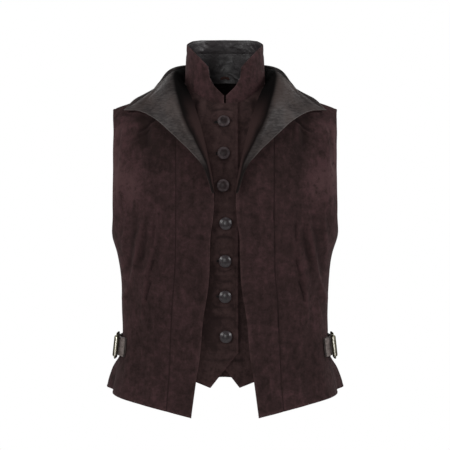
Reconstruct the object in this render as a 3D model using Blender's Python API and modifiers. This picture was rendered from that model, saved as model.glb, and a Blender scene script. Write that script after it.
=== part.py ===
"""A suede waistcoat with a double front, in its hollow worn form.

The outer fronts hang open over a buttoned inner front. A stand collar closes the neck and a
wide pointed collar spreads over the shoulders. Everything is worked out in millimetres on one
body form, and MM turns the finished points to metres. +Z is up, the front faces -Y and the
wearer's left is at +X. The origin lies between the shoulder seams, where the wearer carries it.
"""
import math

import bmesh
import bpy
import numpy as np
from mathutils import Matrix, Quaternion, Vector

MM = 0.001

# Walls and the gaps between sewn pieces
SUEDE = 1.8
FACING = 1.0
STRAP_LEATHER = 1.6
SEAM_GAP = 0.3
LAYER_GAP = 0.35

# Heights on the body form, from the origin
CHEST = -170.0
UNDERARM = -243.0

# The shoulder vault above the chest: its length along the cloth and the line of its ridge
VAULT_SPAN = 240.0
SHOULDER = CHEST + VAULT_SPAN
SHOULDER_SEAM = SHOULDER - 0.6
RIDGE_TOP = 61.0
RIDGE_SLOPE = 0.38
RIDGE_ROUND = 30.0
RIDGE_Y = 6.0
FRONT_FULLNESS = 2.0
BACK_FULLNESS = 2.6

# The body form: columns are height, half width of front and back, depth of front and back
SQUARENESS = 2.4
BODY_RINGS = (
    (-565.0, 208.0, 229.0, 121.0, 122.0),
    (-520.0, 202.0, 223.5, 119.0, 117.0),
    (-486.0, 195.0, 212.0, 116.0, 109.0),
    (-460.0, 189.5, 194.0, 114.0, 104.0),
    (-438.0, 186.0, 186.0, 113.0, 101.0),
    (-400.0, 184.0, 184.0, 113.0, 99.0),
    (-340.0, 185.5, 185.5, 117.0, 105.0),
    (-300.0, 188.0, 188.0, 121.0, 111.0),
    (-270.0, 193.0, 193.0, 124.0, 115.0),
    (-243.0, 202.0, 202.0, 125.5, 117.0),
    (-215.0, 206.0, 206.0, 126.0, 118.0),
    (-170.0, 206.0, 206.0, 124.0, 118.0),
)
# The back starts at the front's width at the side vent and swells out over this turn
BACK_FLARE_TURN = math.radians(12.0)

# Neck and armholes
NECK_HALF = 72.0
NECK_FRONT = 83.0
NECK_BACK = 55.0
FRONT_ARMHOLE = 197.5
BACK_ARMHOLE = 193.0
ARMHOLE_ROUND = 45.0
# The armhole edge stands a little further out towards the shoulder
SHOULDER_WING = 3.0
WING_START = -60.0

# Outer fronts: the front edge and the princess seam, columns are level and distance from centre
FRONT_EDGE = (
    (-550.0, 58.6),
    (-488.0, 50.2),
    (-440.0, 43.0),
    (-383.0, 38.1),
    (-321.0, 28.6),
    (-269.0, 25.9),
    (-234.0, 25.0),
    (-208.0, 18.5),
    (-162.0, 19.5),
    (-110.0, 33.0),
    (-50.0, 50.0),
    (0.0, 64.0),
    (40.0, 73.0),
    (70.0, 76.5),
)
PRINCESS_SEAM = (
    (-550.0, 103.0),
    (-477.0, 97.6),
    (-366.0, 92.5),
    (-296.0, 87.0),
    (-204.0, 85.0),
    (-62.0, 86.0),
    (70.0, 92.0),
)
OUTER_HEM = (
    (58.6, -552.5),
    (78.0, -548.0),
    (108.0, -541.0),
    (133.0, -535.5),
    (170.0, -529.0),
    (200.0, -524.5),
)
OUTER_HEM_POINT = OUTER_HEM[0][1]
OUTER_HEM_SIDE = OUTER_HEM[-1][1]
BREAK_POINT = -162.0

# Inner fronts: they lie inside the outer fronts and end under the princess seam
INNER_DEPTH_SIDE = SUEDE + LAYER_GAP + 0.6
INNER_DEPTH_CENTRE = 7.5
INNER_FLAT = 30.0
INNER_SEATED = 80.0
INNER_PLY = 2.4
LAP_FLAT = 26.0
LAP_SEATED = 56.0
INNER_LAP = (23.3, 16.0, 8.0, 0.0, -8.0, -17.0, -25.9)
INNER_TURNS = (33.0, 43.0, 52.0, 60.0, 68.0, 76.0, 83.0, 90.0)
INNER_SEAM_COLUMNS = (-79.0, -87.0, -95.0)
INNER_HEM = (
    (-95.0, -470.0),
    (-50.0, -488.0),
    (-25.9, -497.0),
    (23.3, -436.0),
)

# Back hem: columns are distance from centre and height
BACK_HEM_CENTRE = -516.0
BACK_HEM_SIDE = -521.0

# Largest folds of the outer fronts: from a point to a point (distance from centre, level),
# the half width of the fold and its height, which is negative in a valley
FOLDS = (
    (140.0, -20.0, 152.0, -150.0, 17.0, -4.0),
    (176.0, -40.0, 184.0, -190.0, 15.0, 2.5),
    (150.0, -235.0, 158.0, -330.0, 15.0, 3.5),
    (128.0, -255.0, 142.0, -320.0, 12.0, 3.0),
    (172.0, -260.0, 150.0, -420.0, 16.0, -3.5),
    (120.0, -440.0, 128.0, -530.0, 24.0, 3.0),
)

# Stand collar: turn from the front centre in degrees, and the height of its cut top edge
STAND_EDGE = (
    (0.0, 8.0),
    (3.0, 10.5),
    (16.4, 25.5),
    (23.8, 40.5),
    (26.4, 59.3),
    (41.4, 75.0),
    (58.0, 87.5),
    (66.0, 92.5),
    (76.0, 96.5),
    (90.0, 100.0),
    (110.0, 105.2),
    (120.0, 108.0),
    (140.0, 110.4),
    (180.0, 111.3),
)
STAND_SLIT = 1.4
STAND_INSIDE_END = 50.0
STAND_LIFT = 0.5 * SUEDE + 0.6
STAND_LEAN = -4.0
STAND_TOP_HALF = 66.5
STAND_TOP_REFERENCE = 112.0
BAND_START = 60.0
BAND_NARROW = 45.0
BAND_FULL = 75.0
BAND_DEPTH = 24.0
FACING_DROP = 0.4
FACING_FOOT = 6.0
FACING_FOOT_FULL = 70.0
FACING_FOOT_START = 10.0

# Spread collar, one row for each section from the break point round to the centre back. The
# seam column runs 0 to 1 up the open neck edge and 1 to 2 round the back of the neck. The crest
# is where the collar rolls over, and the edge is its free edge, with the tip at COLLAR_TIP. The
# last column is how far the collar sags between its crest and its edge.
COLLAR_ROWS = (
    (0.00, 21.0, -127.5, -160.0, 24.0, -129.0, -157.0, 0.0),
    (0.16, 32.0, -129.0, -118.0, 37.0, -127.5, -114.0, 0.0),
    (0.29, 41.5, -130.5, -95.0, 52.0, -123.0, -94.0, 0.0),
    (0.42, 56.0, -129.0, -67.0, 74.0, -113.0, -72.0, 0.0),
    (0.57, 68.0, -121.0, -43.0, 100.0, -97.0, -49.0, 1.0),
    (0.70, 78.5, -105.0, -15.0, 125.0, -77.0, -30.0, 3.0),
    (0.81, 87.0, -80.0, 12.0, 152.0, -52.0, -19.0, 6.0),
    (0.92, 92.0, -48.0, 36.0, 179.0, -31.0, -18.0, 8.0),
    (1.00, 92.0, -18.0, 47.0, 158.0, -12.0, 2.5, 5.0),
    (1.25, 88.0, 9.0, 52.0, 135.0, 3.0, 13.0, 2.0),
    (1.42, 80.0, 38.0, 55.0, 123.5, 20.0, 32.0, 0.0),
    (1.58, 64.0, 62.0, 56.0, 104.5, 48.0, 57.5, 0.0),
    (1.78, 38.0, 80.0, 55.0, 54.0, 81.0, 68.0, 0.0),
    (2.00, 0.0, 85.0, 52.0, 0.0, 93.0, 72.0, 0.0),
)
COLLAR_TIP = 7
COLLAR_SEAM_OUT = 2.6
COLLAR_FACING_OUT = 2.1
COLLAR_NECK_CLEARANCE = 3.8

# Buttons on the inner front, heights from the top
BUTTON_HEIGHTS = (-34.0, -90.0, -146.5, -212.5, -278.5, -341.0, -411.0)
BUTTON_X = (-2.4, -2.4, -3.4, 1.2, 0.2, 0.2, 1.5)
BUTTON_PROFILE = (
    (0.0, 6.6),
    (4.0, 6.2),
    (7.5, 4.9),
    (9.8, 3.0),
    (11.0, 1.6),
    (10.4, 0.6),
    (7.0, 0.0),
    (0.0, 0.0),
)
BUTTON_SEAT = 0.75

# Side straps and buckles
BUCKLE_TURN = 84.0
STRAP_TOP = -421.0
STRAP_FOOT = -455.0
BUCKLE_HEIGHT = 48.0
BUCKLE_LENGTH = 34.0
BUCKLE_FRONT_WIDTH = 7.6
BUCKLE_BACK_WIDTH = 3.0
BUCKLE_CENTRE_WIDTH = 2.6
BUCKLE_THICK = 3.0
BUCKLE_OUT = 9.6
BUCKLE_TILT = math.radians(12.0)
BUCKLE_CORNER = 6.0
WINDOW_CORNER = 1.5
# The front bar carries a thick roller over this half height
ROLLER_THICK = 8.8
ROLLER_HALF = 19.4
# Where the frame's bars lie: along is the distance ahead of the buckle, out is from the panel
CENTRE_BAR = (0.2, 9.2)
BACK_BAR = (-14.2, 7.0)
LOOP_TURN = 3.7
# Both leathers lie on the panels, turn round a bar and lie back on themselves
TAB_LEAD = ((33.0, 2.5), (24.0, 2.5), (14.0, 2.6), (4.4, 3.6))
TAB_RETURN = ((6.2, 8.4), (8.6, 5.9), (14.3, 5.2), (24.0, 4.9), (33.0, 4.7))
STRAP_LEAD = ((-78.0, 2.5), (-62.0, 2.5), (-46.0, 2.5), (-35.0, 2.5), (-25.5, 2.6), (-19.0, 2.9))
STRAP_RETURN = ((-20.5, 8.6), (-25.5, 5.9), (-31.0, 5.0), (-40.0, 4.7), (-52.0, 4.7))

# Hang loop inside the back of the stand collar
LOOP_HALF = 9.0
LOOP_TOP = 45.0
LOOP_FOOT = 38.0
LOOP_BULGE = 2.6
LOOP_WALL = 1.2
LOOP_STEPS = 8

# How finely each piece is divided
HEM_ROWS = 3
LOWER_LEVELS = (-455.0, -438.0, -421.0, -394.0, -360.0, -325.0, -295.0, -268.0, -254.0, -243.0)
UPPER_LEVELS = (-236.0, -226.0, -212.0, -192.0, -170.0, -145.0, -120.0, -95.0, -70.0, -45.0, -20.0,
                5.0, 25.0, 42.0, 56.0, SHOULDER_SEAM)
CENTRE_COLUMNS = 5
SIDE_COLUMNS = 8
BACK_COLUMNS = 10
NECK_STEPS = 8
NECK_ROW_GAP = 8.0
INNER_LOWER_ROWS = 8
INNER_UPPER_ROWS = 9
STAND_EVEN_FROM = 80.0
STAND_EVEN_STEPS = 10
STAND_EXTRA_TURNS = (12.0, 33.0, 50.0, 57.0, 59.5)
STAND_ROWS = 4
COLLAR_STEPS = 17
COLLAR_COLUMNS = 6
BUTTON_STEPS = 14

SUEDE_COLOUR = (0.042, 0.026, 0.027)
INNER_COLOUR = (0.026, 0.017, 0.017)
FACING_COLOUR = (0.045, 0.037, 0.036)
STRAP_COLOUR = (0.09, 0.075, 0.068)
METAL_COLOUR = (0.42, 0.38, 0.30)
BUTTON_COLOUR = (0.045, 0.035, 0.036)
LOOP_COLOUR = (0.10, 0.045, 0.038)


def spline(knots, values, at):
    """The value at one place on a smooth curve through the values."""
    knots = [float(k) for k in knots]
    values = [float(v) for v in values]
    at = min(max(at, knots[0]), knots[-1])
    slopes = []
    for i in range(len(knots)):
        before = max(i - 1, 0)
        after = min(i + 1, len(knots) - 1)
        slopes.append((values[after] - values[before]) / (knots[after] - knots[before]))
    i = 0
    while i < len(knots) - 2 and at > knots[i + 1]:
        i += 1
    width = knots[i + 1] - knots[i]
    t = (at - knots[i]) / width
    return ((2 * t ** 3 - 3 * t ** 2 + 1) * values[i] + (t ** 3 - 2 * t ** 2 + t) * width * slopes[i]
            + (3 * t ** 2 - 2 * t ** 3) * values[i + 1] + (t ** 3 - t ** 2) * width * slopes[i + 1])


def column(table, number):
    return [row[number] for row in table]


def table_at(table, at, number=1):
    return spline(column(table, 0), column(table, number), at)


def table_line(table, at):
    """Straight lines between the rows of a table."""
    return float(np.interp(at, column(table, 0), column(table, 1)))


def step(t):
    """A soft change from 0 to 1."""
    t = min(max(t, 0.0), 1.0)
    return t * t * (3 - 2 * t)


# The body form

def ridge_height(x):
    return RIDGE_TOP - RIDGE_SLOPE * math.hypot(x, RIDGE_ROUND)


def ring_size(height, back):
    height = min(height, CHEST)
    half_width = table_at(BODY_RINGS, height, 2 if back else 1)
    depth = table_at(BODY_RINGS, height, 4 if back else 3)
    return half_width, depth


def bare_point(angle, level):
    """A point of the form: angle from the front centre, level along the cloth."""
    back = math.cos(angle) < 0
    half_width, depth = ring_size(level, back)
    if back:
        front_half = ring_size(level, False)[0]
        opened = step((abs(angle) - math.pi / 2) / BACK_FLARE_TURN)
        half_width = front_half + (half_width - front_half) * opened
    across = abs(math.sin(angle)) / half_width
    through = abs(math.cos(angle)) / depth
    reach = (across ** SQUARENESS + through ** SQUARENESS) ** (-1 / SQUARENESS)
    x = reach * math.sin(angle)
    y = -reach * math.cos(angle)
    if level <= CHEST:
        return np.array((x, y, level))
    rise = (level - CHEST) / VAULT_SPAN * math.pi / 2
    fullness = BACK_FULLNESS if back else FRONT_FULLNESS
    lift = max(math.sin(rise), 0.0) ** (2 / fullness)
    z = CHEST + (ridge_height(x) - CHEST) * lift
    y = RIDGE_Y + (y - RIDGE_Y) * math.cos(rise)
    return np.array((x, y, z))


def form_normal(angle, level):
    """The outward direction of the form, from points close by on the same half."""
    back = math.cos(angle) < 0
    size = abs(angle)
    low = size - 0.01
    high = size + 0.01
    if back:
        low = max(low, math.pi / 2 + 1e-6)
    else:
        high = min(high, math.pi / 2 - 1e-6)
    sign = 1.0 if angle >= 0 else -1.0
    top = min(level + 1.0, SHOULDER)
    foot = top - 2.0
    across = bare_point(sign * high, level) - bare_point(sign * low, level)
    up = bare_point(angle, top) - bare_point(angle, foot)
    normal = np.cross(across * sign, up)
    return normal / np.linalg.norm(normal)


def skin(angle, level, out=0.0):
    return bare_point(angle, level) + form_normal(angle, level) * out


def angle_at(x, level, back=False):
    half_width, depth = ring_size(level, back)
    share = min(abs(x) / half_width, 1.0)
    y = depth * (1 - share ** SQUARENESS) ** (1 / SQUARENESS)
    angle = math.atan2(abs(x), y)
    if back:
        angle = math.pi - angle
    return math.copysign(angle, x)


def level_at_depth(x, y, back):
    """The level at which the vault reaches the plan position x, y."""
    half_width, depth = ring_size(CHEST, back)
    wall = depth * (1 - (abs(x) / half_width) ** SQUARENESS) ** (1 / SQUARENESS)
    if not back:
        wall = -wall
    share = (y - RIDGE_Y) / (wall - RIDGE_Y)
    share = min(max(share, 0.0), 1.0)
    return CHEST + VAULT_SPAN * math.acos(share) / (math.pi / 2)


def fold_height(x, level):
    """How far the largest folds push the outer fronts from the form."""
    total = 0.0
    for x0, level0, x1, level1, half_width, height in FOLDS:
        length = math.hypot(x1 - x0, level1 - level0)
        ux = (x1 - x0) / length
        uz = (level1 - level0) / length
        along = (abs(x) - x0) * ux + (level - level0) * uz
        aside = (abs(x) - x0) * uz - (level - level0) * ux
        fade_in = step((along + half_width) / (2 * half_width))
        fade_out = step((length + half_width - along) / (2 * half_width))
        total += height * fade_in * fade_out * math.exp(-2 * (aside / half_width) ** 2)
    return total


# Meshes

def material(name, colour, roughness, metallic=0.0):
    made = bpy.data.materials.new(name)
    made.use_nodes = True
    shader = made.node_tree.nodes["Principled BSDF"]
    shader.inputs["Base Color"].default_value = (*colour, 1.0)
    shader.inputs["Roughness"].default_value = roughness
    shader.inputs["Metallic"].default_value = metallic
    return made


def place(name, mesh, finish):
    for face in mesh.polygons:
        face.use_smooth = True
    made = bpy.data.objects.new(name, mesh)
    made.data.materials.append(finish)
    PARTS.objects.link(made)
    return made


def cloth(name, rows, wall, finish, even=True):
    """A wall of cloth through a grid of points: rows of equal length, the points in its middle."""
    high = len(rows)
    wide = len(rows[0])
    points = [Vector(point) * MM for row in rows for point in row]
    faces = []
    for r in range(high - 1):
        for c in range(wide - 1):
            corner = r * wide + c
            faces.append((corner, corner + 1, corner + wide + 1, corner + wide))
    mesh = bpy.data.meshes.new(name)
    mesh.from_pydata(points, [], faces)
    sheet = bmesh.new()
    sheet.from_mesh(mesh)
    sheet.normal_update()
    facing = 0.0
    for face in sheet.faces:
        facing += face.normal.dot(from_axis(face.calc_center_median()))
    if facing < 0:
        bmesh.ops.reverse_faces(sheet, faces=sheet.faces[:])
    sheet.to_mesh(mesh)
    sheet.free()
    made = place(name, mesh, finish)
    thicken = made.modifiers.new("wall", "SOLIDIFY")
    thicken.thickness = wall * MM
    thicken.offset = 0.0
    thicken.use_even_offset = even
    return made


def from_axis(point):
    """Outward from the middle of the garment."""
    return Vector((point.x, point.y, 0.0)).normalized()


def strip(inner, outer, columns):
    """Grid of (angle, level) between two boundaries that have a row each."""
    grid = []
    for (angle0, level0), (angle1, level1) in zip(inner, outer):
        row = []
        for c in range(columns + 1):
            t = c / columns
            row.append((angle0 + (angle1 - angle0) * t, level0 + (level1 - level0) * t))
        grid.append(row)
    return grid


def lower_levels(hem):
    low = [hem + (LOWER_LEVELS[0] - hem) * r / HEM_ROWS for r in range(HEM_ROWS)]
    return low + list(LOWER_LEVELS)


def row_levels(hem):
    return lower_levels(hem) + list(UPPER_LEVELS)


# Outer fronts

def hang_hem(grid):
    """Let the rows under the lowest level follow the outer fronts' curved hem."""
    for r in range(HEM_ROWS):
        for c, (angle, level) in enumerate(grid[r]):
            hem = table_at(OUTER_HEM, bare_point(angle, level)[0])
            grid[r][c] = (angle, hem + (LOWER_LEVELS[0] - hem) * r / HEM_ROWS)
    return grid


def armhole_angle(level, back):
    """The armhole edge: upright at the front and back, round under the arm."""
    distance = BACK_ARMHOLE if back else FRONT_ARMHOLE
    distance += SHOULDER_WING * step((level - WING_START) / (SHOULDER - WING_START))
    upright = angle_at(distance, max(level, CHEST), back)
    side = math.pi / 2
    if level <= UNDERARM:
        return side
    share = min((level - UNDERARM) / ARMHOLE_ROUND, 1.0)
    round_part = math.sqrt(1 - (1 - share) ** 2)
    return side + (upright - side) * round_part


def shift(angle, level, distance):
    """Move an angle by a distance along the ring, positive away from the front centre."""
    radius = np.linalg.norm(bare_point(angle, min(level, CHEST))[:2])
    return angle + distance / radius


def seam_line(table, hem, gap):
    line = []
    for level in row_levels(hem):
        angle = angle_at(table_at(table, level), level)
        line.append((shift(angle, level, gap), level))
    return line


def side_line(hem, back, gap):
    line = []
    for level in row_levels(hem):
        line.append((shift(armhole_angle(level, back), level, gap), level))
    return line


def outer_front(side, name):
    half_gap = SEAM_GAP / 2
    princess_hem = table_at(OUTER_HEM, table_at(PRINCESS_SEAM, OUTER_HEM_POINT))
    edge = seam_line(FRONT_EDGE, OUTER_HEM_POINT, 0.0)
    princess_in = seam_line(PRINCESS_SEAM, princess_hem, -half_gap)
    princess_out = seam_line(PRINCESS_SEAM, princess_hem, half_gap)
    armhole = side_line(OUTER_HEM_SIDE, False, -half_gap)
    pieces = (
        ("centre", strip(edge, princess_in, CENTRE_COLUMNS)),
        ("side", strip(princess_out, armhole, SIDE_COLUMNS)),
    )
    for part, grid in pieces:
        rows = []
        for line in hang_hem(grid):
            rows.append([front_point(side, angle, level) for angle, level in line])
        finish = material(f"{name}_{part}_suede", SUEDE_COLOUR, 0.9)
        cloth(f"{name}_{part}", rows, SUEDE, finish)


def front_point(side, angle, level, out=0.0):
    x = bare_point(angle, level)[0]
    return skin(side * angle, level, out + fold_height(x, level))


# Back

def neck_plan(turn):
    """Plan position of the neck seam, turn from the front centre in radians."""
    x = NECK_HALF * math.sin(turn)
    reach = NECK_FRONT if math.cos(turn) > 0 else NECK_BACK
    return x, RIDGE_Y - reach * math.cos(turn)


def neck_place(turn, clearance=0.0):
    """Angle and level of the neck seam, or of a line that far outside it."""
    x, y = neck_plan(turn)
    length = math.hypot(x, y - RIDGE_Y)
    x += clearance * x / length
    y += clearance * (y - RIDGE_Y) / length
    back = math.cos(turn) < -1e-9
    level = level_at_depth(x, y, back)
    return angle_at(x, CHEST, back), level


def back_piece():
    gap = SEAM_GAP / 2
    neck = [neck_place(math.pi - math.pi / 2 * n / NECK_STEPS) for n in range(NECK_STEPS)]
    neck.append((math.pi - angle_at(NECK_HALF, CHEST), SHOULDER))
    neck[0] = (math.pi, neck[0][1])
    lower = lower_levels(BACK_HEM_CENTRE)
    plain = [level for level in UPPER_LEVELS if level < neck[0][1] - NECK_ROW_GAP]
    upper = plain + [level for angle, level in neck]
    inner = [(math.pi, level) for level in lower + plain] + neck
    outer = [(armhole_angle(level, True), level) for level in lower_levels(BACK_HEM_SIDE) + upper]
    outer = [(shift(angle, level, gap), level) for angle, level in outer]
    grid = strip(inner, outer, BACK_COLUMNS)
    rows = []
    for line in grid:
        rows.append([skin(angle, min(level, SHOULDER_SEAM)) for angle, level in line])
    for row in rows:
        if abs(row[0][0]) < 1e-6:
            row[0][0] = 0.0
    finish = material("back_suede", SUEDE_COLOUR, 0.9)
    made = cloth("back", rows, SUEDE, finish)
    mirror = made.modifiers.new("other half", "MIRROR")
    mirror.merge_threshold = 0.00005
    made.modifiers.move(1, 0)
    return made


# Inner fronts

def inner_depth(x):
    """How far the inner fronts lie inside the form."""
    share = step((abs(x) - INNER_FLAT) / (INNER_SEATED - INNER_FLAT))
    return -(INNER_DEPTH_CENTRE + (INNER_DEPTH_SIDE - INNER_DEPTH_CENTRE) * share)


def inner_top(x):
    if abs(x) >= NECK_HALF:
        return SHOULDER
    turn = math.asin(abs(x) / NECK_HALF)
    return neck_place(turn)[1]


def inner_stations():
    """Distances of the columns from the lap edge to the side edge, with the hem's corners."""
    neck = [-NECK_HALF * math.sin(math.radians(turn)) for turn in INNER_TURNS]
    return list(INNER_LAP) + neck + list(INNER_SEAM_COLUMNS)


def inner_front(side, name, ply):
    """One inner front. Side is the side of the body it covers and ply its extra depth."""
    rows = []
    stations = inner_stations()
    for r in range(INNER_LOWER_ROWS + INNER_UPPER_ROWS + 1):
        row = []
        for x in stations:
            hem = table_line(INNER_HEM, x)
            top = min(inner_top(x), SHOULDER_SEAM)
            if r <= INNER_LOWER_ROWS:
                level = hem + (CHEST - hem) * r / INNER_LOWER_ROWS
            else:
                level = CHEST + (top - CHEST) * (r - INNER_LOWER_ROWS) / INNER_UPPER_ROWS
            at = -side * x
            extra = ply
            if x < 0:
                extra = ply * (1 - step((abs(x) - LAP_FLAT) / (LAP_SEATED - LAP_FLAT)))
            row.append(skin(angle_at(at, level), level, inner_depth(x) - extra))
        rows.append(row)
    finish = material(f"{name}_suede", INNER_COLOUR, 0.9)
    return cloth(name, rows, SUEDE, finish)


# Stand collar

def folded(turn):
    """The same turn from the front centre on the other side of the collar."""
    return turn if turn <= math.pi else 2 * math.pi - turn


def stand_foot(turn):
    """The seam point under the stand collar, on the neck edge."""
    near = folded(turn)
    angle, level = neck_place(near)
    x = NECK_HALF * math.sin(near)
    to_outside = step((math.degrees(near) - STAND_INSIDE_END) / (90.0 - STAND_INSIDE_END))
    point = skin(angle, min(level, SHOULDER), inner_depth(x) * (1 - to_outside))
    if turn > math.pi:
        point = point * np.array((-1.0, 1.0, 1.0))
    return point + np.array((0.0, 0.0, STAND_LIFT))


def stand_head(turn):
    """The point above it at the height of the tallest part."""
    foot = stand_foot(turn)
    scale = STAND_TOP_HALF / NECK_HALF
    x = foot[0] * scale
    y = RIDGE_Y + (foot[1] - RIDGE_Y) * scale + STAND_LEAN
    return np.array((x, y, STAND_TOP_REFERENCE))


def stand_point(turn, height, inside=0.0):
    foot = stand_foot(turn)
    head = stand_head(turn)
    share = (height - foot[2]) / (head[2] - foot[2])
    point = foot + (head - foot) * share
    point[2] = height
    if inside:
        away = np.array((point[0], point[1] - RIDGE_Y, 0.0))
        plan = np.array((away[0] / NECK_HALF ** 2, away[1] / reach_of(turn) ** 2, 0.0))
        point = point - plan / np.linalg.norm(plan) * inside
    return point


def reach_of(turn):
    return NECK_FRONT if math.cos(turn) > 0 else NECK_BACK


def stand_edge(turn):
    return table_line(STAND_EDGE, math.degrees(folded(turn)))


def stand_turns(start):
    """Turns round the collar from one side of the slit to the other, with the edge's corners."""
    corners = [row[0] for row in STAND_EDGE if start < row[0] < 180.0]
    even = list(np.linspace(STAND_EVEN_FROM, 180.0, STAND_EVEN_STEPS + 1))
    half = sorted(t for t in set([start] + corners + even + list(STAND_EXTRA_TURNS)) if t >= start)
    whole = half + [360.0 - t for t in reversed(half[:-1])]
    return [math.radians(t) for t in whole]


def stand_collar():
    rows = []
    turns = stand_turns(STAND_SLIT)
    for r in range(STAND_ROWS + 1):
        row = []
        for turn in turns:
            foot = stand_foot(turn)[2]
            top = stand_edge(turn)
            row.append(stand_point(turn, foot + (top - foot) * r / STAND_ROWS))
        rows.append(row)
    cloth("stand_collar", rows, SUEDE, material("stand_collar_suede", SUEDE_COLOUR, 0.9))


def band_depth(turn):
    """The depth of the top band, which narrows towards the front."""
    degrees = math.degrees(folded(turn))
    if degrees < BAND_START - 2.0:
        return 0.0
    return BAND_DEPTH * step((degrees - BAND_NARROW) / (BAND_FULL - BAND_NARROW))


def stand_facings():
    inside = 0.5 * SUEDE + LAYER_GAP + 0.5 * FACING
    lower = []
    turns = stand_turns(STAND_SLIT + 1.0)
    rows = 2
    for r in range(rows + 1):
        row = []
        for turn in turns:
            from_front = math.degrees(folded(turn)) - FACING_FOOT_START
            rise = step(from_front / (FACING_FOOT_FULL - FACING_FOOT_START))
            foot = stand_foot(turn)[2] + FACING_FOOT * rise
            top = stand_edge(turn) - FACING_DROP - band_depth(turn)
            if band_depth(turn):
                top -= SEAM_GAP
            row.append(stand_point(turn, foot + (top - foot) * r / rows, inside))
        lower.append(row)
    cloth("stand_facing", lower, FACING, material("stand_facing_leather", FACING_COLOUR, 0.4))
    upper = []
    start = math.radians(BAND_START)
    turns = [turn for turn in turns if start < turn < 2 * math.pi - start]
    turns = [start + 0.002] + turns + [2 * math.pi - start - 0.002]
    for r in range(2):
        row = []
        for turn in turns:
            top = stand_edge(turn) - FACING_DROP
            row.append(stand_point(turn, top - band_depth(turn) * (1 - r), inside))
        upper.append(row)
    cloth("stand_facing_band", upper, FACING, material("stand_band_leather", FACING_COLOUR, 0.35))


def hang_loop():
    inside = 0.5 * SUEDE + LAYER_GAP + FACING + LAYER_GAP + 0.5 * LOOP_WALL
    rows = []
    for height in (LOOP_FOOT, LOOP_TOP):
        row = []
        for n in range(LOOP_STEPS + 1):
            x = LOOP_HALF * (2 * n / LOOP_STEPS - 1)
            turn = math.pi - math.asin(x / NECK_HALF)
            bulge = LOOP_BULGE * math.cos(math.pi / 2 * x / LOOP_HALF)
            row.append(stand_point(turn, height, inside + bulge))
        rows.append(row)
    cloth("hang_loop", rows, LOOP_WALL, material("hang_loop_leather", LOOP_COLOUR, 0.6))


# Spread collar

def collar_seam(seam):
    """The line where the spread collar is sewn: up the open neck edge, then round the back."""
    if seam <= 1.0:
        level = BREAK_POINT + (SHOULDER - BREAK_POINT) * seam
        x = table_at(FRONT_EDGE, level)
        return skin(angle_at(x, level), level, COLLAR_SEAM_OUT)
    turn = math.pi / 2 * seam
    angle, level = neck_place(turn, COLLAR_NECK_CLEARANCE)
    return skin(angle, level, COLLAR_SEAM_OUT)


def collar_section(row):
    """Seam, crest, middle and free edge of the collar at a fractional row."""
    rows = list(range(len(COLLAR_ROWS)))
    seam = spline(rows, column(COLLAR_ROWS, 0), row)
    crest = np.array([spline(rows, column(COLLAR_ROWS, n), row) for n in (1, 2, 3)])
    sag = spline(rows, column(COLLAR_ROWS, 7), row)
    if row <= COLLAR_TIP:
        span = rows[:COLLAR_TIP + 1]
    else:
        span = rows[COLLAR_TIP:]
    part = [COLLAR_ROWS[r] for r in span]
    edge = np.array([spline(span, column(part, n), row) for n in (4, 5, 6)])
    middle = (crest + edge) / 2 - np.array((0.0, 0.0, sag))
    return collar_seam(seam), crest, middle, edge


def collar_point(row, share):
    points = collar_section(row)
    knots = [0.0]
    for before, after in zip(points, points[1:]):
        knots.append(knots[-1] + np.linalg.norm(after - before) + 0.01)
    return np.array([spline(knots, [p[n] for p in points], share * knots[-1]) for n in range(3)])


def collar_rows():
    last = len(COLLAR_ROWS) - 1
    steps = sorted(set([last * n / COLLAR_STEPS for n in range(COLLAR_STEPS + 1)] + [float(COLLAR_TIP)]))
    half = []
    for row in steps:
        half.append([collar_point(row, c / COLLAR_COLUMNS) for c in range(COLLAR_COLUMNS + 1)])
    for point in half[-1]:
        point[0] = 0.0
    flip = np.array((-1.0, 1.0, 1.0))
    return half + [[point * flip for point in points] for points in reversed(half[:-1])]


def moved_out(rows, distance):
    """The same grid, moved along its own surface's directions."""
    last_row = len(rows) - 1
    last_column = len(rows[0]) - 1
    moved = []
    for r, row in enumerate(rows):
        line = []
        for c, point in enumerate(row):
            along = rows[min(r + 1, last_row)][c] - rows[max(r - 1, 0)][c]
            across = row[min(c + 1, last_column)] - row[max(c - 1, 0)]
            normal = np.cross(across, along)
            line.append(point + normal / np.linalg.norm(normal) * distance)
        moved.append(line)
    return moved


def spread_collar():
    rows = collar_rows()
    cloth("collar", rows, SUEDE, material("collar_suede", SUEDE_COLOUR, 0.9), False)
    finish = material("collar_facing_leather", FACING_COLOUR, 0.45)
    cloth("collar_facing", moved_out(rows, COLLAR_FACING_OUT), FACING, finish, False)


# Buttons

def buttons():
    for number, height in enumerate(BUTTON_HEIGHTS):
        x = BUTTON_X[number]
        seat = inner_face(x, height)
        name = f"button_{number + 1}"
        mesh = bpy.data.meshes.new(name)
        points = [Vector((radius, 0.0, rise)) * MM for radius, rise in BUTTON_PROFILE]
        edges = [(n, n + 1) for n in range(len(points) - 1)]
        mesh.from_pydata(points, edges, [])
        made = place(name, mesh, material(f"{name}_shell", BUTTON_COLOUR, 0.35))
        turn = made.modifiers.new("turned", "SCREW")
        turn.steps = BUTTON_STEPS
        turn.render_steps = BUTTON_STEPS
        turn.use_merge_vertices = True
        turn.merge_threshold = 0.00005
        turn.use_normal_calculate = True
        made.matrix_world = seat


def inner_face(x, height):
    """A seat on the top inner front: its place, with Z pointing out of the cloth."""
    level = height
    if height > CHEST:
        rise = math.asin((height - CHEST) / (ridge_height(x) - CHEST))
        level = CHEST + VAULT_SPAN * rise / (math.pi / 2)
    angle = angle_at(x, level)
    normal = form_normal(angle, level)
    out = inner_depth(x) + 0.5 * SUEDE + BUTTON_SEAT
    point = skin(angle, level, out)
    turn = Vector(normal).to_track_quat("Z", "Y").to_matrix().to_4x4()
    return Matrix.Translation(Vector(point) * MM) @ turn


# Side straps and buckles

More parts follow.
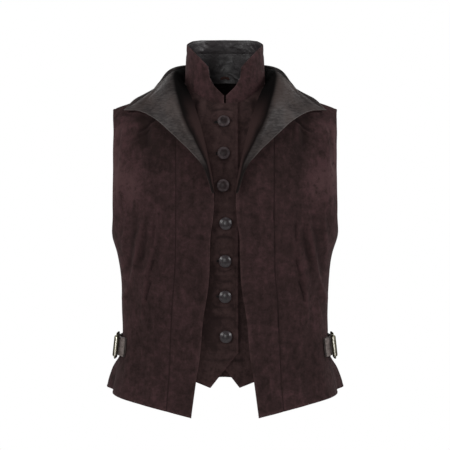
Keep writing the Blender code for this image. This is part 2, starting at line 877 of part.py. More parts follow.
def arc(centre, start, end):
    """Points of a leather's turn round a bar, from one angle to another in degrees."""
    steps = max(round(abs(end - start) / 30.0), 1)
    points = []
    for n in range(steps + 1):
        turn = math.radians(start + (end - start) * n / steps)
        points.append((centre[0] + LOOP_TURN * math.cos(turn), centre[1] + LOOP_TURN * math.sin(turn)))
    return points


def side_point(side, along, height, out):
    """A point round the side of the waistcoat: along is ahead of the buckle."""
    centre = math.radians(BUCKLE_TURN)
    radius = np.linalg.norm(bare_point(centre, height)[:2])
    angle = centre - along / radius
    return skin(side * angle, height, out)


def side_fastening(side, name):
    tab = list(TAB_LEAD) + arc(CENTRE_BAR, -135.0, -330.0) + list(TAB_RETURN)
    strap = list(STRAP_LEAD) + arc(BACK_BAR, -90.0, 120.0) + list(STRAP_RETURN)
    for piece, path in (("buckle_tab", tab), ("side_strap", strap)):
        rows = []
        for height in (STRAP_FOOT, STRAP_TOP):
            rows.append([side_point(side, along, height, out) for along, out in path])
        finish = material(f"{piece}_{name}_leather", STRAP_COLOUR, 0.5)
        cloth(f"{piece}_{name}", rows, STRAP_LEATHER, finish)
    buckle(side, name)


def rounded_rectangle(half_long, half_high, radius, centre, corner_steps):
    points = []
    for sx, sy, start in ((1, 1, 0), (-1, 1, 90), (-1, -1, 180), (1, -1, 270)):
        for n in range(corner_steps + 1):
            turn = math.radians(start + 90 * n / corner_steps)
            across = centre + sx * (half_long - radius) + radius * math.cos(turn)
            up = sy * (half_high - radius) + radius * math.sin(turn)
            points.append((across, up))
    return points


def buckle(side, name):
    """A flat frame with a centre bar and a thick front roller, tilted off the waistcoat's side."""
    outline = bpy.data.curves.new(f"buckle_{name}_outline", "CURVE")
    outline.dimensions = "2D"
    outline.fill_mode = "BOTH"
    outline.extrude = BUCKLE_THICK / 2 * MM
    window_high = BUCKLE_HEIGHT / 2 - BUCKLE_BACK_WIDTH
    loops = [rounded_rectangle(BUCKLE_LENGTH / 2, BUCKLE_HEIGHT / 2, BUCKLE_CORNER, 0.0, 3)]
    near = BUCKLE_CENTRE_WIDTH / 2
    for end, width in ((-side, BUCKLE_FRONT_WIDTH), (side, BUCKLE_BACK_WIDTH)):
        far = BUCKLE_LENGTH / 2 - width
        middle = end * (far + near) / 2
        loops.append(rounded_rectangle((far - near) / 2, window_high, WINDOW_CORNER, middle, 2))
    for loop in loops:
        curve = outline.splines.new("POLY")
        curve.points.add(len(loop) - 1)
        for point, (across, up) in zip(curve.points, loop):
            point.co = (across * MM, up * MM, 0.0, 1.0)
        curve.use_cyclic_u = True
    guide = bpy.data.objects.new(f"buckle_{name}_outline", outline)
    PARTS.objects.link(guide)
    bpy.context.view_layer.update()
    graph = bpy.context.evaluated_depsgraph_get()
    mesh = bpy.data.meshes.new_from_object(guide.evaluated_get(graph))
    bpy.data.objects.remove(guide)
    weld = bmesh.new()
    weld.from_mesh(mesh)
    bmesh.ops.remove_doubles(weld, verts=weld.verts[:], dist=0.00002)
    roller_start = BUCKLE_LENGTH / 2 - BUCKLE_FRONT_WIDTH - 0.01
    for vertex in weld.verts:
        if -side * vertex.co.x > roller_start * MM and abs(vertex.co.y) < ROLLER_HALF * MM:
            vertex.co.z *= ROLLER_THICK / BUCKLE_THICK
    weld.to_mesh(mesh)
    weld.free()
    made = place(f"buckle_{name}", mesh, material(f"buckle_{name}_metal", METAL_COLOUR, 0.3, 1.0))
    height = (STRAP_TOP + STRAP_FOOT) / 2
    centre = Vector(side_point(side, 0.0, height, BUCKLE_OUT))
    upper = Vector(side_point(side, 0.0, STRAP_TOP, BUCKLE_OUT))
    lower = Vector(side_point(side, 0.0, STRAP_FOOT, BUCKLE_OUT))
    up = (upper - lower).normalized()
    normal = Vector(form_normal(side * math.radians(BUCKLE_TURN), height))
    normal = (normal - up * normal.dot(up)).normalized()
    normal.rotate(Quaternion(up, side * BUCKLE_TILT))
    across = up.cross(normal)
    made.matrix_world = Matrix.Translation(centre * MM) @ Matrix((across, up, normal)).transposed().to_4x4()
    made.data.update()


for leftover in list(bpy.data.objects):
    bpy.data.objects.remove(leftover)
PARTS = bpy.data.collections.new("waistcoat")
bpy.context.scene.collection.children.link(PARTS)

SIDES = ((-1, "right"), (1, "left"))
back_piece()
for body_side, side_name in SIDES:
    outer_front(body_side, f"front_{side_name}")
    side_fastening(body_side, side_name)
inner_front(-1, "inner_front_right", 0.0)
inner_front(1, "inner_front_left", INNER_PLY)
stand_collar()
stand_facings()
hang_loop()
spread_collar()
buttons()
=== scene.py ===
"""The suede waistcoat's finished look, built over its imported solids.

Every cloth piece is a thin shell on the same body form as its solid, with the folds and creases
that hang in it. Sizes are in millimetres until MM turns the finished points to metres.
"""
import math

import bmesh
import bpy
import numpy as np
from mathutils import Matrix, Quaternion, Vector


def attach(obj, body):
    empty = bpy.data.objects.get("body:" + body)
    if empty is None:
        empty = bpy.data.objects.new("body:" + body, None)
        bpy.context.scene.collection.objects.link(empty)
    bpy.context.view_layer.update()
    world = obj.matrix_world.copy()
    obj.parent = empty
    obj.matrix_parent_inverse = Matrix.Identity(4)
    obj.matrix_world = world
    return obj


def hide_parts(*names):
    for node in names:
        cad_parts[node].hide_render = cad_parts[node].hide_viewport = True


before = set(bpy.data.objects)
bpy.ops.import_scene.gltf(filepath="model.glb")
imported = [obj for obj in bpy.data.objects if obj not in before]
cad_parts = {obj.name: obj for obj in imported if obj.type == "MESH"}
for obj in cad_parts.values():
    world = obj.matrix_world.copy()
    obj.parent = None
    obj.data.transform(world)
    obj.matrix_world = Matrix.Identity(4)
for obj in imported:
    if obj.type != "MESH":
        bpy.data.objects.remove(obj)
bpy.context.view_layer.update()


MM = 0.001

# Walls, and how finely the cloth is divided: its spacing, the closer steps at an edge, and the
# least space between two places
SUEDE = 1.6
FACING = 0.8
STRAP_LEATHER = 1.6
GRID = 3
EDGE_STEPS = (0, 0.9, 2, 3.3, 4.8)
CLOSEST = 0.3

# Heights on the body form, from the origin
CHEST = -170
UNDERARM = -243
SHOULDER = 70
SHOULDER_SEAM = 69.92

# The shoulder vault above the chest
VAULT_SPAN = 240
RIDGE_TOP = 61
RIDGE_SLOPE = 0.38
RIDGE_ROUND = 30
RIDGE_Y = 6
FRONT_FULLNESS = 2
BACK_FULLNESS = 2.6

# The body form: columns are height, half width of front and back, depth of front and back
SQUARENESS = 2.4
BODY_RINGS = np.array((
    (-565, 208, 229, 121, 122),
    (-520, 202, 223.5, 119, 117),
    (-486, 195, 212, 116, 109),
    (-460, 189.5, 194, 114, 104),
    (-438, 186, 186, 113, 101),
    (-400, 184, 184, 113, 99),
    (-340, 185.5, 185.5, 117, 105),
    (-300, 188, 188, 121, 111),
    (-270, 193, 193, 124, 115),
    (-243, 202, 202, 125.5, 117),
    (-215, 206, 206, 126, 118),
    (-170, 206, 206, 124, 118),
))
# The back starts at the front's width at the side vent and swells out over this turn
BACK_FLARE_TURN = math.radians(12)

# Neck and armholes
NECK_HALF = 72
NECK_FRONT = 83
NECK_BACK = 55
FRONT_ARMHOLE = 197.5
BACK_ARMHOLE = 193
ARMHOLE_ROUND = 45
SHOULDER_WING = 3
WING_START = -60

# Outer fronts: edge and princess seam by level, hem by distance from the centre
FRONT_EDGE = np.array((
    (-550, 58.6),
    (-488, 50.2),
    (-440, 43),
    (-383, 38.1),
    (-321, 28.6),
    (-269, 25.9),
    (-234, 25),
    (-208, 21),
    (-162, 19.5),
    (-110, 33),
    (-50, 50),
    (0, 64),
    (40, 73),
    (70, 76.5),
))
PRINCESS_SEAM = np.array((
    (-550, 103),
    (-477, 97.6),
    (-366, 92.5),
    (-296, 87),
    (-204, 85),
    (-62, 86),
    (70, 92),
))
OUTER_HEM = np.array((
    (58.6, -552.5),
    (78, -548),
    (108, -541),
    (133, -535.5),
    (170, -529),
    (200, -524.5),
))
LOWEST_LEVEL = -455
BREAK_POINT = -162
VENT_TOP = -412

# Inner fronts: how far they lie inside the form, and their pointed hem
INNER_DEPTH_SIDE = 2.75
INNER_DEPTH_CENTRE = 7.5
INNER_FLAT = 30
INNER_SEATED = 80
INNER_PLY = 2.4
LAP_FLAT = 26
LAP_SEATED = 56
LAP_EDGE = 23.3
INNER_SIDE = -95
INNER_HEM = np.array((
    (-95, -472),
    (-50, -490.5),
    (-25.9, -500),
    (23.3, -439),
))
# The lower one's relief stays within these, and both lie plain from here under the outer fronts
LOWER_RELIEF = (-0.5, 0.1)
INNER_PLAIN_FROM = 60
INNER_PLAIN_FADE = 20

# Back hem, from the centre to the side
BACK_HEM_CENTRE = -516
BACK_HEM_SIDE = -521
# Columns along the neck of the back, and how far under it the plain rows end
NECK_STEPS = 40
NECK_MARGIN = 2

# Folds of the outer fronts, as in the solids, then the finer creases of the finished cloth. Each
# row goes from a point to a point (distance from the centre, level), then gives how far it bows
# outwards, the half width and the height, which is negative in a trough.
MAIN_FOLDS = (
    (140, -20, 152, -150, 0, 17, -4),
    (176, -40, 184, -190, 0, 15, 2.5),
    (150, -235, 158, -330, 0, 15, 3.5),
    (128, -255, 142, -320, 0, 12, 3),
    (172, -260, 150, -420, 0, 16, -3.5),
    (120, -440, 128, -530, 0, 24, 3),
)
# Like those of the back, inner fronts and collar, these creases also paint light on ridges and shade in
# troughs
FRONT_CREASES = (
    (106, -28, 152, -57, 0, 6, -3.6),
    (120, -46, 160, -67, 0, 4, 1.8),
    (130, -56, 166, -76, 0, 4, -1.6),
    (150, -72, 172, -92, 2, 5, 1.2),
    (158, -20, 182, 8, 0, 7, -1.8),
    (136, -50, 139, -86, 0, 8, -2.2),
    (140, -82, 127, -128, -3, 12, -1.5),
    (126, -50, 124, -84, 0, 8, 1.6),
    # The next four rows lie along the collar's lower edge and paint its shadow
    (152, -12, 120, -48, 0, 7, -2.4),
    (118, -54, 84, -92, 0, 6.5, -1.7),
    (82, -94, 44, -126, 0, 6, -1.5),
    (42, -128, 26, -158, 0, 4.5, -1.2),
    (112, -80, 108, -150, 0, 9, 0.9),
    (184, -36, 186, -80, 0, 6, -1.8),
    (188, -84, 189, -118, 0, 6, -1.3),
    (144, -212, 180, -354, -5, 5.5, 3),
    (158, -226, 177, -302, -3, 8, -2.4),
    (171, -202, 180, -270, 0, 5, 2),
    (136, -222, 146, -278, -2, 6, -2),
    (121, -246, 147, -384, 3, 4.5, 2.6),
    (139, -262, 154, -336, 2, 6, -1.4),
    (124, -276, 130, -300, 0, 3.2, -2.4),
    (128, -314, 139, -352, 1, 3.4, -2.8),
    (130, -366, 133, -404, 0, 4.5, -1.1),
    (121, -212, 124, -258, 0, 4.5, -2),
    (116, -186, 118, -252, 0, 4.5, 1.6),
    (140, -194, 142, -222, 0, 4, 1.3),
    (153, -194, 155, -230, 0, 4.5, -1.5),
    (166, -318, 176, -400, 3, 7, -1.5),
    (22, -197, 64, -201, -2, 3.5, -0.9),
    (48, -400, 60, -520, 2, 12, -0.8),
    (86, -430, 84, -535, 0, 10, 0.8),
    (160, -440, 176, -520, 3, 12, 1.6),
    (142, -460, 148, -528, 0, 9, -1.2),
    (116, -400, 108, -510, 4, 12, -1),
)
BACK_CREASES = (
    (40, 10, 118, -62, 10, 13, -1.8),
    (70, -20, 150, -92, 8, 14, 1.6),
    (176, -50, 168, -190, 4, 13, 2),
    (190, -226, 120, -286, 8, 9, -2.2),
    (186, -244, 104, -318, 8, 10, 2),
    (182, -270, 128, -352, 6, 8, -1.6),
    (178, -400, 96, -372, 5, 10, 1.8),
    (176, -424, 84, -408, 4, 9, -1.9),
    (172, -446, 92, -452, -4, 9, 1.5),
    (60, -330, 44, -436, 4, 16, -1.8),
    (22, -60, 14, -250, 2, 22, -1.4),
    (96, -452, 112, -512, 2, 18, 2.2),
    (30, -448, 34, -510, 0, 14, 1.6),
    (150, -470, 164, -518, 2, 12, -1.6),
)
# Inner fronts: rows are signed distances towards the lap edge and levels
INNER_CREASES = (
    (-24, -58, 16, -54, 2, 4.5, 1.2),
    (-26, -47, 14, -50, 1, 4, -1.2),
    (-30, -104, 12, -108, 2, 5, 1),
    (-24, -118, 18, -124, -2, 5, -0.9),
    (-22, -178, 18, -184, 2, 5, 0.9),
    (-20, -192, 20, -194, -1, 4.5, -0.9),
    (-16, -238, 16, -240, 3, 5, -1),
    (-14, -292, 14, -291, -5, 3, -1.5),
    (-16, -299, 17, -299, -4, 3.5, 1.5),
    (-18, -312, 14, -314, -2, 5, -0.9),
    (-20, -322, 16, -323, 1, 4, 0.9),
    (-20, -357, 16, -357, -3, 3.5, -1.2),
    (-22, -366, 18, -368, -2, 4, 1.2),
    (-26, -379, 18, -380, 1, 4.5, -0.9),
    (-30, -444, 20, -440, -3, 3.5, 1.1),
    (-34, -451, 14, -449, -3, 4, -1),
    (-40, -20, -62, -110, 3, 10, 1.6),
    (-52, -16, -70, -90, 3, 9, -1.6),
)

# Patches of darker and lighter suede: distance from the centre, level, half of the width and
# height, and how far the tone moves. On the fronts and inner fronts they are partly uneven tone and
# partly painted light and shade: paler upper chest and armhole sides, shade under the collar and at
# the break
FRONT_TONE_AND_SHADING_PATCHES = (
    (132, -55, 30, 34, -1),
    (112, -96, 34, 52, -0.9),
    (136, -118, 16, 40, -0.5),
    (202, -108, 19, 66, 2.3),
    (160, -146, 30, 50, 1.5),
    (176, -40, 30, 22, 1.2),
    (139, -72, 9, 13, -1.5),
    (137, -36, 14, 9, -1.2),
    (150, -26, 10, 8, -0.8),
    (71, -165, 12, 50, 0.3),
    (148, -234, 14, 26, -0.4),
    (186, -351, 12, 80, 0.5),
    (168, -402, 14, 36, 0.5),
    (113, -516, 26, 26, 0.5),
    (172, -455, 44, 44, -0.8),
    (66, -520, 14, 40, -0.4),
)
BACK_PATCHES = (
    (40, -60, 50, 50, -0.6),
    (120, -90, 36, 60, 0.6),
    (190, -110, 18, 60, 0.9),
    (60, -200, 40, 40, 0.3),
    (30, -330, 44, 60, -0.5),
    (140, -440, 40, 44, 0.4),
    (50, -490, 40, 26, 0.5),
)
INNER_TONE_AND_SHADING_PATCHES = (
    (-24, -385, 26, 62, -1),
    (-44, -46, 14, 26, -1.2),
    (44, -46, 14, 26, -1.2),
    (0, -30, 20, 30, 0.3),
    (0, -168, 26, 22, -0.8),
    (-24, -320, 12, 140, -0.5),
    (30, -320, 10, 140, -0.9),
)

# Stand collar: turn from the front centre in degrees, and the height of its cut top edge
STAND_EDGE = np.array((
    (0, 8),
    (3, 10.5),
    (16.4, 25.5),
    (23.8, 40.5),
    (26.4, 59.3),
    (41.4, 75),
    (58, 87.5),
    (66, 92.5),
    (76, 96.5),
    (90, 100),
    (110, 105.2),
    (120, 108),
    (140, 110.4),
    (180, 111.3),
))
STAND_SLIT = 1.4
STAND_INSIDE_END = 50
STAND_LIFT = -0.8
# The stand lies this much deeper over the lower of the two inner fronts, from these degrees on
STAND_PLY = 2
STAND_PLY_START = 6
STAND_PLY_FADE = 14
# Painted light: the stand's suede is lifted paler where the spread collar shades it
STAND_LIGHT_LIFT = 0.65
STAND_LEAN = -4
STAND_TOP_HALF = 66.5
STAND_TOP_REFERENCE = 112
STAND_TURN_STEP = 1.5
CLOSEST_TURN = 0.25
BAND_START = 60
BAND_NARROW = 45
BAND_FULL = 75
BAND_DEPTH = 24
BAND_GAP = 0.3
BAND_LEAD = 2
BAND_INSET = 0.002
FACING_DROP = 0.4
FACING_FOOT = 6
FACING_FOOT_FULL = 70
FACING_FOOT_START = 10
# Walls and gap of the solids, between which the stand's facings and the hang loop lie
SOLID_SUEDE = 1.8
SOLID_FACING = 1
SOLID_GAP = 0.35
FACING_CLEARANCE = 0.2
# Creases of the stand, in rows as above: round the stand in degrees times this scale, and height
STAND_SCALE = 1.2
STAND_FADE = 8
STAND_CREASES = (
    (28, 14, 40, 62, 2, 7, -0.9),
    (44, 22, 60, 84, 3, 8, 0.9),
    (70, 30, 96, 36, 3, 6, -1),
    (120, 60, 168, 66, -3, 8, 1),
    (100, 84, 150, 80, 3, 6, -0.8),
)
# Wrinkles of its facings: how many, and the ranges of their place round the stand, height, lean,
# half length and half width. The least relief keeps them off the suede.
WRINKLES = 110
WRINKLE_RANGES = ((0, 432), (20, 112), (-0.8, 0.8), (6, 17), (2.4, 4))
LEAST_RELIEF = -0.25
FACING_WRINKLE = 0.7
FACING_FADE = 6
BAND_WRINKLE = 0.9
BAND_PADDING = 0.8
BAND_FADE = 5

# Spread collar, one row for each section from the break point round to the centre back: place on
# the seam, crest, free edge, and how far the collar sags between them
COLLAR_ROWS = np.array((
    (0.00, 21, -127.5, -160, 24, -129, -157, 0),
    (0.16, 32, -129, -118, 37, -127.5, -114, 0),
    (0.29, 41.5, -130.5, -95, 52, -123, -94, 0),
    (0.42, 56, -129, -67, 74, -113, -72, 0),
    (0.57, 68, -121, -43, 100, -97, -49, 1),
    (0.70, 78.5, -105, -15, 125, -77, -30, 3),
    (0.81, 87, -80, 12, 152, -52, -19, 6),
    (0.92, 92, -48, 36, 179, -31, -18, 8),
    (1.00, 92, -18, 47, 158, -12, 2.5, 5),
    (1.25, 88, 9, 52, 135, 3, 13, 2),
    (1.42, 80, 38, 55, 120, 20, 31, 0),
    (1.58, 64, 62, 56, 99.5, 48, 57, 0),
    (1.78, 38, 80, 55, 54, 81, 68, 0),
    (2.00, 0, 85, 52, 0, 93, 72, 0),
))
COLLAR_TIP = 7
COLLAR_SEAM_OUT = 2.6
COLLAR_FACING_OUT = 2.1
COLLAR_NECK_CLEARANCE = 3.8
COLLAR_ROW_STEPS = 12
COLLAR_KNOT_GAP = 0.01
COLLAR_CLEARANCE = 0.15
# The relief grows from the seam over this share
COLLAR_RELIEF_SHARE = 0.3
# Painted shade inside the collar: it ends at a share of the way to the edge, with a soft change
# round it, and past this section it spreads outwards
SHADE_SECTION = 9
SHADE_SHARE = 0.44
SHADE_RISE = 0.2
SHADE_BEFORE = 0.08
SHADE_SOFTNESS = 0.15
# Painted shade makes the facing brown at its lower end, and it turns grey over these sections
BROWN_SHADE_END = 0.75
BROWN_SHADE_FROM = 0.8
BROWN_SHADE_SPAN = 1.3
# Folds of the collar, whose heights also paint light and shade, and its patches of painted light
# and shade: section and share from seam to edge, both scaled to millimetres
SECTION_SCALE = 28
SHARE_SCALE = 110
COLLAR_FOLDS = (
    (222, 48, 182, 106, -4, 7, 1.6),
    (236, 56, 200, 108, -4, 8, -1.8),
    (244, 66, 222, 104, 0, 6, -1.4),
    (262, 60, 250, 104, 3, 8, -1.4),
    (160, 50, 150, 100, 3, 12, 1),
    (128, 60, 120, 104, 2, 10, -1),
    (96, 50, 84, 106, 2, 10, 0.9),
    (310, 50, 318, 104, 3, 14, 1.6),
    (340, 56, 332, 104, 3, 12, -1.4),
)
COLLAR_SHADING_PATCHES = (
    (14, 88, 34, 60, -0.9),
    (240, 82, 24, 20, -1.8),
    (250, 96, 34, 16, -1),
    (226, 90, 14, 12, -0.5),
    (296, 92, 30, 22, -0.8),
    (200, 62, 26, 16, 0.4),
    (126, 92, 30, 14, 0.3),
)

# Buttons on the inner front
BUTTON_HEIGHTS = (-34, -90, -146.5, -212.5, -278.5, -341, -411)
BUTTON_X = (-2.4, -2.4, -3.4, 1.2, 0.2, 0.2, 1.5)
BUTTON_PROFILE = (
    (0, 6.5),
    (2.5, 6.4),
    (5, 5.9),
    (7.2, 5),
    (8.9, 3.8),
    (9.9, 2.7),
    (10.5, 2.5),
    (11, 1.9),
    (10.9, 1.1),
    (10.2, 0.6),
    (4, 0.3),
    (0, 0.3),
)
BUTTON_SEAT = 0.75
BUTTON_STEPS = 48
HORN_BUTTONS = 3
# The cloth drawn in round a button: a low ring, then the dip that the button sits in
PUCKER_SQUEEZE = 0.8
PUCKER_RISE = 0.7
PUCKER_RING = 15
PUCKER_WIDTH = 5
PUCKER_DIP = 0.6
PUCKER_DIP_WIDTH = 9
# Buttonholes, with the pitch, length and thickness of their stitches
HOLE_REACH = 17.5
HOLE_START = 4
HOLE_HALF = 2.1
HOLE_OUT = 1
HOLE_STEPS = 40
HOLE_SLIT = 0.9
HOLE_DEPTH = 0.5
HOLE_STITCH = (0.9, 1.5, 0.7)

# Side straps and buckles
BUCKLE_TURN = 84
STRAP_TOP = -421
STRAP_FOOT = -455
BUCKLE_HEIGHT = 48
BUCKLE_LENGTH = 34
BUCKLE_WIRE = 1.5
BUCKLE_OUT = 9.6
BUCKLE_TILT = math.radians(12)
BUCKLE_CORNER = 6
CENTRE_WIRE = 1.3
ROLLER_ALONG = 13
# Roller on the front bar, half of its outline: height from its middle and radius
ROLLER_ENDS = ((18.9, 1.7), (18.8, 2.8), (18.3, 3.6), (17.4, 4.1), (16, 4.3), (8, 4.35), (0, 4.35))
CENTRE_BAR = (0.2, 9.2)
BACK_BAR = (-14.2, 7)
LOOP_TURN = 3.6
LOOP_TURN_STEPS = 12
TAB_LEAD = ((33, 2.5), (24, 2.5), (14, 2.6), (4.4, 3.6))
TAB_RETURN = ((6.2, 8.4), (8.6, 5.9), (14.3, 5.2), (24, 4.9), (33, 4.7))
STRAP_LEAD = ((-78, 2.5), (-62, 2.5), (-46, 2.5), (-35, 2.5), (-25.5, 2.6), (-19, 2.9))
STRAP_RETURN = ((-20.5, 8.6), (-25.5, 5.9), (-31, 5), (-40, 4.7), (-52, 4.7))

# Hang loop inside the back of the stand collar
LOOP_HALF = 8.2
LOOP_TOP = 44
LOOP_FOOT = 39.6
LOOP_ARCH = 2.2
LOOP_BULGE = 2.6
LOOP_WALL = 1.2
LOOP_ROLL = 0.5
LOOP_COLUMNS = 25
LOOP_ROWS = 7

# Strap: how much thinner than its solid, the spacing of its grid, and its two rows of stitches
STRAP_SHRINK = 0.1
STRAP_GRID = 1.4
STRAP_STITCH_ALONG = (-74, -55, -40, -30)
STRAP_STITCH_INSET = 3.2
STRAP_STITCH_OUT = 3.4

# Shells: the crease height that shows its full light or shade, a distance past every edge, how
# close the two halves of the back touch, and the rounding of a rim
CREASE_FULL = 2.2
INNER_CREASE_FULL = 0.75
FAR = 99.0
JOIN_DISTANCE = 0.01
RIM_SHARE = 0.3
RIM_ANGLE = math.radians(60)

# Lengths by which the rows and columns of a grid are spaced, and spacings other than GRID
CENTRE_PANEL = 52
SIDE_PANEL = 190
BACK_PANEL = 230
INNER_BELOW_CHEST = 326
INNER_ABOVE_CHEST = 170
INNER_GRID = 2.4
LAP_GRID = 2.2
STAND_WALL = 90
STAND_GRID = 4
FACING_WALL = 80
BAND_GRID = 2
COLLAR_FALL = 120

# Slight waves of all cloth, and the seed of each piece's waves or wrinkles
RIPPLES = 9
RIPPLE_WAVES = (26, 90)
RIPPLE_ACROSS = 1.3
RIPPLE_ALONG = 0.7
SEEDS = {"centre": 11, "side": 12, "back": 31, "inner": 41, "stand": 51, "facing": 61, "band": 62,
         "collar": 71}

# A turned edge swells, with a channel under its stitches, and cloth drops into a seam
EDGE_SWELL = 0.35
EDGE_SWELL_AT = 1.8
EDGE_SWELL_WIDTH = 1.6
CHANNEL_DEPTH = 0.3
CHANNEL_WIDTH = 1.2
SEAM_DROP = 0.9
SEAM_REACH = 2.2
ARMHOLE_FADE = 12
STITCHED_FROM = UNDERARM + 6

# Stitches, then the tree that sets them: its nodes, and its links from an output to an input
STITCH_INSET = 4.6
STAND_STITCH_INSET = 3.4
COLLAR_STITCH_INSET = 3.6
STITCH_PITCH = 3.4
STITCH_LENGTH = 2.3
STITCH_THICK = 0.55
STITCH_NODES = {
    "given": "NodeGroupInput",
    "result": "NodeGroupOutput",
    "curve": "GeometryNodeMeshToCurve",
    "spots": "GeometryNodeCurveToPoints",
    "stitch": "GeometryNodeMeshUVSphere",
    "size": "ShaderNodeCombineXYZ",
    "put": "GeometryNodeInstanceOnPoints",
    "real": "GeometryNodeRealizeInstances",
    "dye": "GeometryNodeSetMaterial",
}
STITCH_LINKS = (
    ("given", "Geometry", "curve", "Mesh"),
    ("curve", "Curve", "spots", "Curve"),
    ("given", "Pitch", "spots", "Length"),
    ("given", "Thickness", "size", "X"),
    ("given", "Thickness", "size", "Y"),
    ("given", "Length", "size", "Z"),
    ("spots", "Points", "put", "Points"),
    ("spots", "Rotation", "put", "Rotation"),
    ("stitch", "Mesh", "put", "Instance"),
    ("size", "Vector", "put", "Scale"),
    ("put", "Instances", "real", "Geometry"),
    ("real", "Geometry", "dye", "Geometry"),
    ("given", "Thread", "dye", "Material"),
    ("dye", "Geometry", "result", "Geometry"),
)

# Colours of the finishes. A pair is the two ends of a pattern.
# The blackest suede paints shade into creases and seams
SUEDE_SHADE = (0.0070, 0.0040, 0.0040)
SUEDE_DARK = (0.0170, 0.0100, 0.0094)
SUEDE_MIDDLE = (0.0310, 0.0168, 0.0168)
SUEDE_LIGHT = (0.0600, 0.0290, 0.0315)
# Pale suede for worn edges and for painted pools of light
SUEDE_WORN_AND_LIT = (0.085, 0.048, 0.048)
INNER_DARK = (0.0171, 0.0100, 0.0095)
INNER_MIDDLE = (0.0330, 0.0186, 0.0178)
INNER_LIGHT = (0.0512, 0.0299, 0.0287)
NAP_TINT = (0.55, 0.34, 0.34)
# Painted shade of the suede's inner side up in the hollow, then its own brown at the hem
FLESH_HOLLOW_SHADE = ((0.0035, 0.0024, 0.0024), (0.0075, 0.0050, 0.0048))
FLESH_HEM = ((0.0240, 0.0145, 0.0138), (0.0500, 0.0300, 0.0285))
GREY_LEATHER = ((0.020, 0.0155, 0.0150), (0.052, 0.0425, 0.0405))
GREY_WARM = (0.052, 0.036, 0.031)
# Painted light and shade of the grey facing: crest highlight, trough shade, patch shade and light, edge
# highlight
GREY_CREST_HIGHLIGHT = (0.125, 0.108, 0.104)
GREY_TROUGH_SHADE = (0.018, 0.013, 0.0125)
GREY_PAINTED_SHADE = (0.0150, 0.0108, 0.0102)
GREY_PAINTED_LIGHT = (0.070, 0.058, 0.056)
GREY_EDGE_HIGHLIGHT = (0.12, 0.105, 0.098)
# Painted shade inside the collar, and in its hollow by the stand
COLLAR_INSIDE_SHADE = ((0.0062, 0.0040, 0.0038), (0.0330, 0.0186, 0.0178))
COLLAR_HOLLOW_SHADE = (0.0016, 0.0011, 0.0011)
CRINKLED_LEATHER = ((0.0095, 0.0070, 0.0078), (0.0205, 0.0160, 0.0175))
BRIDLE_LEATHER = ((0.095, 0.076, 0.070), (0.205, 0.170, 0.160))
BRIDLE_CUT = (0.03, 0.022, 0.019)
BRASS_DULL = ((0.150, 0.138, 0.088), (0.080, 0.072, 0.042))
# Painted highlight of the brass
BRASS_GLINT = ((0.90, 0.86, 0.74), (0.70, 0.66, 0.53))
HORN = ((0.0120, 0.0076, 0.0078), (0.0240, 0.0158, 0.0165))
# Painted highlight on the horn buttons' rim
HORN_RING_HIGHLIGHT = (0.0780, 0.0590, 0.0620)
PEWTER = ((0.0085, 0.0058, 0.0066), (0.0200, 0.0140, 0.0158))
# Painted highlight on the pewter buttons' rim
PEWTER_RING_HIGHLIGHT = (0.0330, 0.0240, 0.0275)
BROWN_THREAD = ((0.010, 0.006, 0.006), (0.026, 0.016, 0.015))
HOLE_SHADOW = ((0.003, 0.002, 0.002), (0.006, 0.004, 0.004))
LOOP_LEATHER = ((0.030, 0.012, 0.010), (0.062, 0.028, 0.023))
PLASTER = ((0.80, 0.80, 0.80), (0.86, 0.86, 0.86))
WHITE = (1, 1, 1)
# How far a patch of 1 moves the tone of suede, both its uneven tone and its painted light and shade
PATCH_TONE_AND_SHADING = 0.085


# Camera and stage, in metres
AIM_HEIGHT = -0.2225
CAMERA_DISTANCE = 3
CAMERA_ELEVATION = 3.5
FRAME_WIDTH = 0.81
SENSOR = 36
FRONT_LIGHT_START = -0.9
BACK_LIGHT_START = 0.5
FRONT_LIGHT = 0.17
BACK_LIGHT = 0.20
FLOOR_HEIGHT = -0.9
FLOOR_HALF = 1
FLOOR_CORNERS = ((-1, -1), (1, -1), (1, 1), (-1, 1))
# Softboxes: name, place, width and height, watts, and the point that they face
LAMPS = (
    ("left", (-2.3, -1.4, 0.8), (1.2, 1.2), 38, (0, 0, -0.25)),
    ("right", (2.6, -0.9, 0.8), (1.2, 1.2), 46, (0, 0, -0.25)),
    ("front", (-0.35, -2.6, 0.1), (0.35, 1.5), 16, (0, 0, 0)),
    ("top", (0, -0.2, 2.2), (1, 1), 6, (0, 0, -0.25)),
    ("back_left", (-1.6, 2.2, 0.6), (1.2, 1.2), 15, (0, 0, -0.25)),
    ("back_right", (1.8, 2, 0.4), (1.2, 1.2), 15, (0, 0, -0.25)),
)


# Curves and tables

def spline(knots, values, at):
    """Values at several places on a smooth curve through the values."""
    at = np.clip(at, knots[0], knots[-1])
    slopes = np.empty(len(knots))
    slopes[1:-1] = (values[2:] - values[:-2]) / (knots[2:] - knots[:-2])
    slopes[0] = (values[1] - values[0]) / (knots[1] - knots[0])
    slopes[-1] = (values[-1] - values[-2]) / (knots[-1] - knots[-2])
    i = np.clip(np.searchsorted(knots, at) - 1, 0, len(knots) - 2)
    width = knots[i + 1] - knots[i]
    t = (at - knots[i]) / width
    return ((2 * t ** 3 - 3 * t ** 2 + 1) * values[i] + (t ** 3 - 2 * t ** 2 + t) * width * slopes[i]
            + (3 * t ** 2 - 2 * t ** 3) * values[i + 1] + (t ** 3 - t ** 2) * width * slopes[i + 1])


def table_at(table, at, number=1):
    return spline(table[:, 0], table[:, number], at)


def table_line(table, at):
    """Straight lines between the rows of a table."""
    return np.interp(at, table[:, 0], table[:, 1])


def step(t):
    """A soft change from 0 to 1."""
    t = np.clip(t, 0.0, 1.0)
    return t * t * (3 - 2 * t)


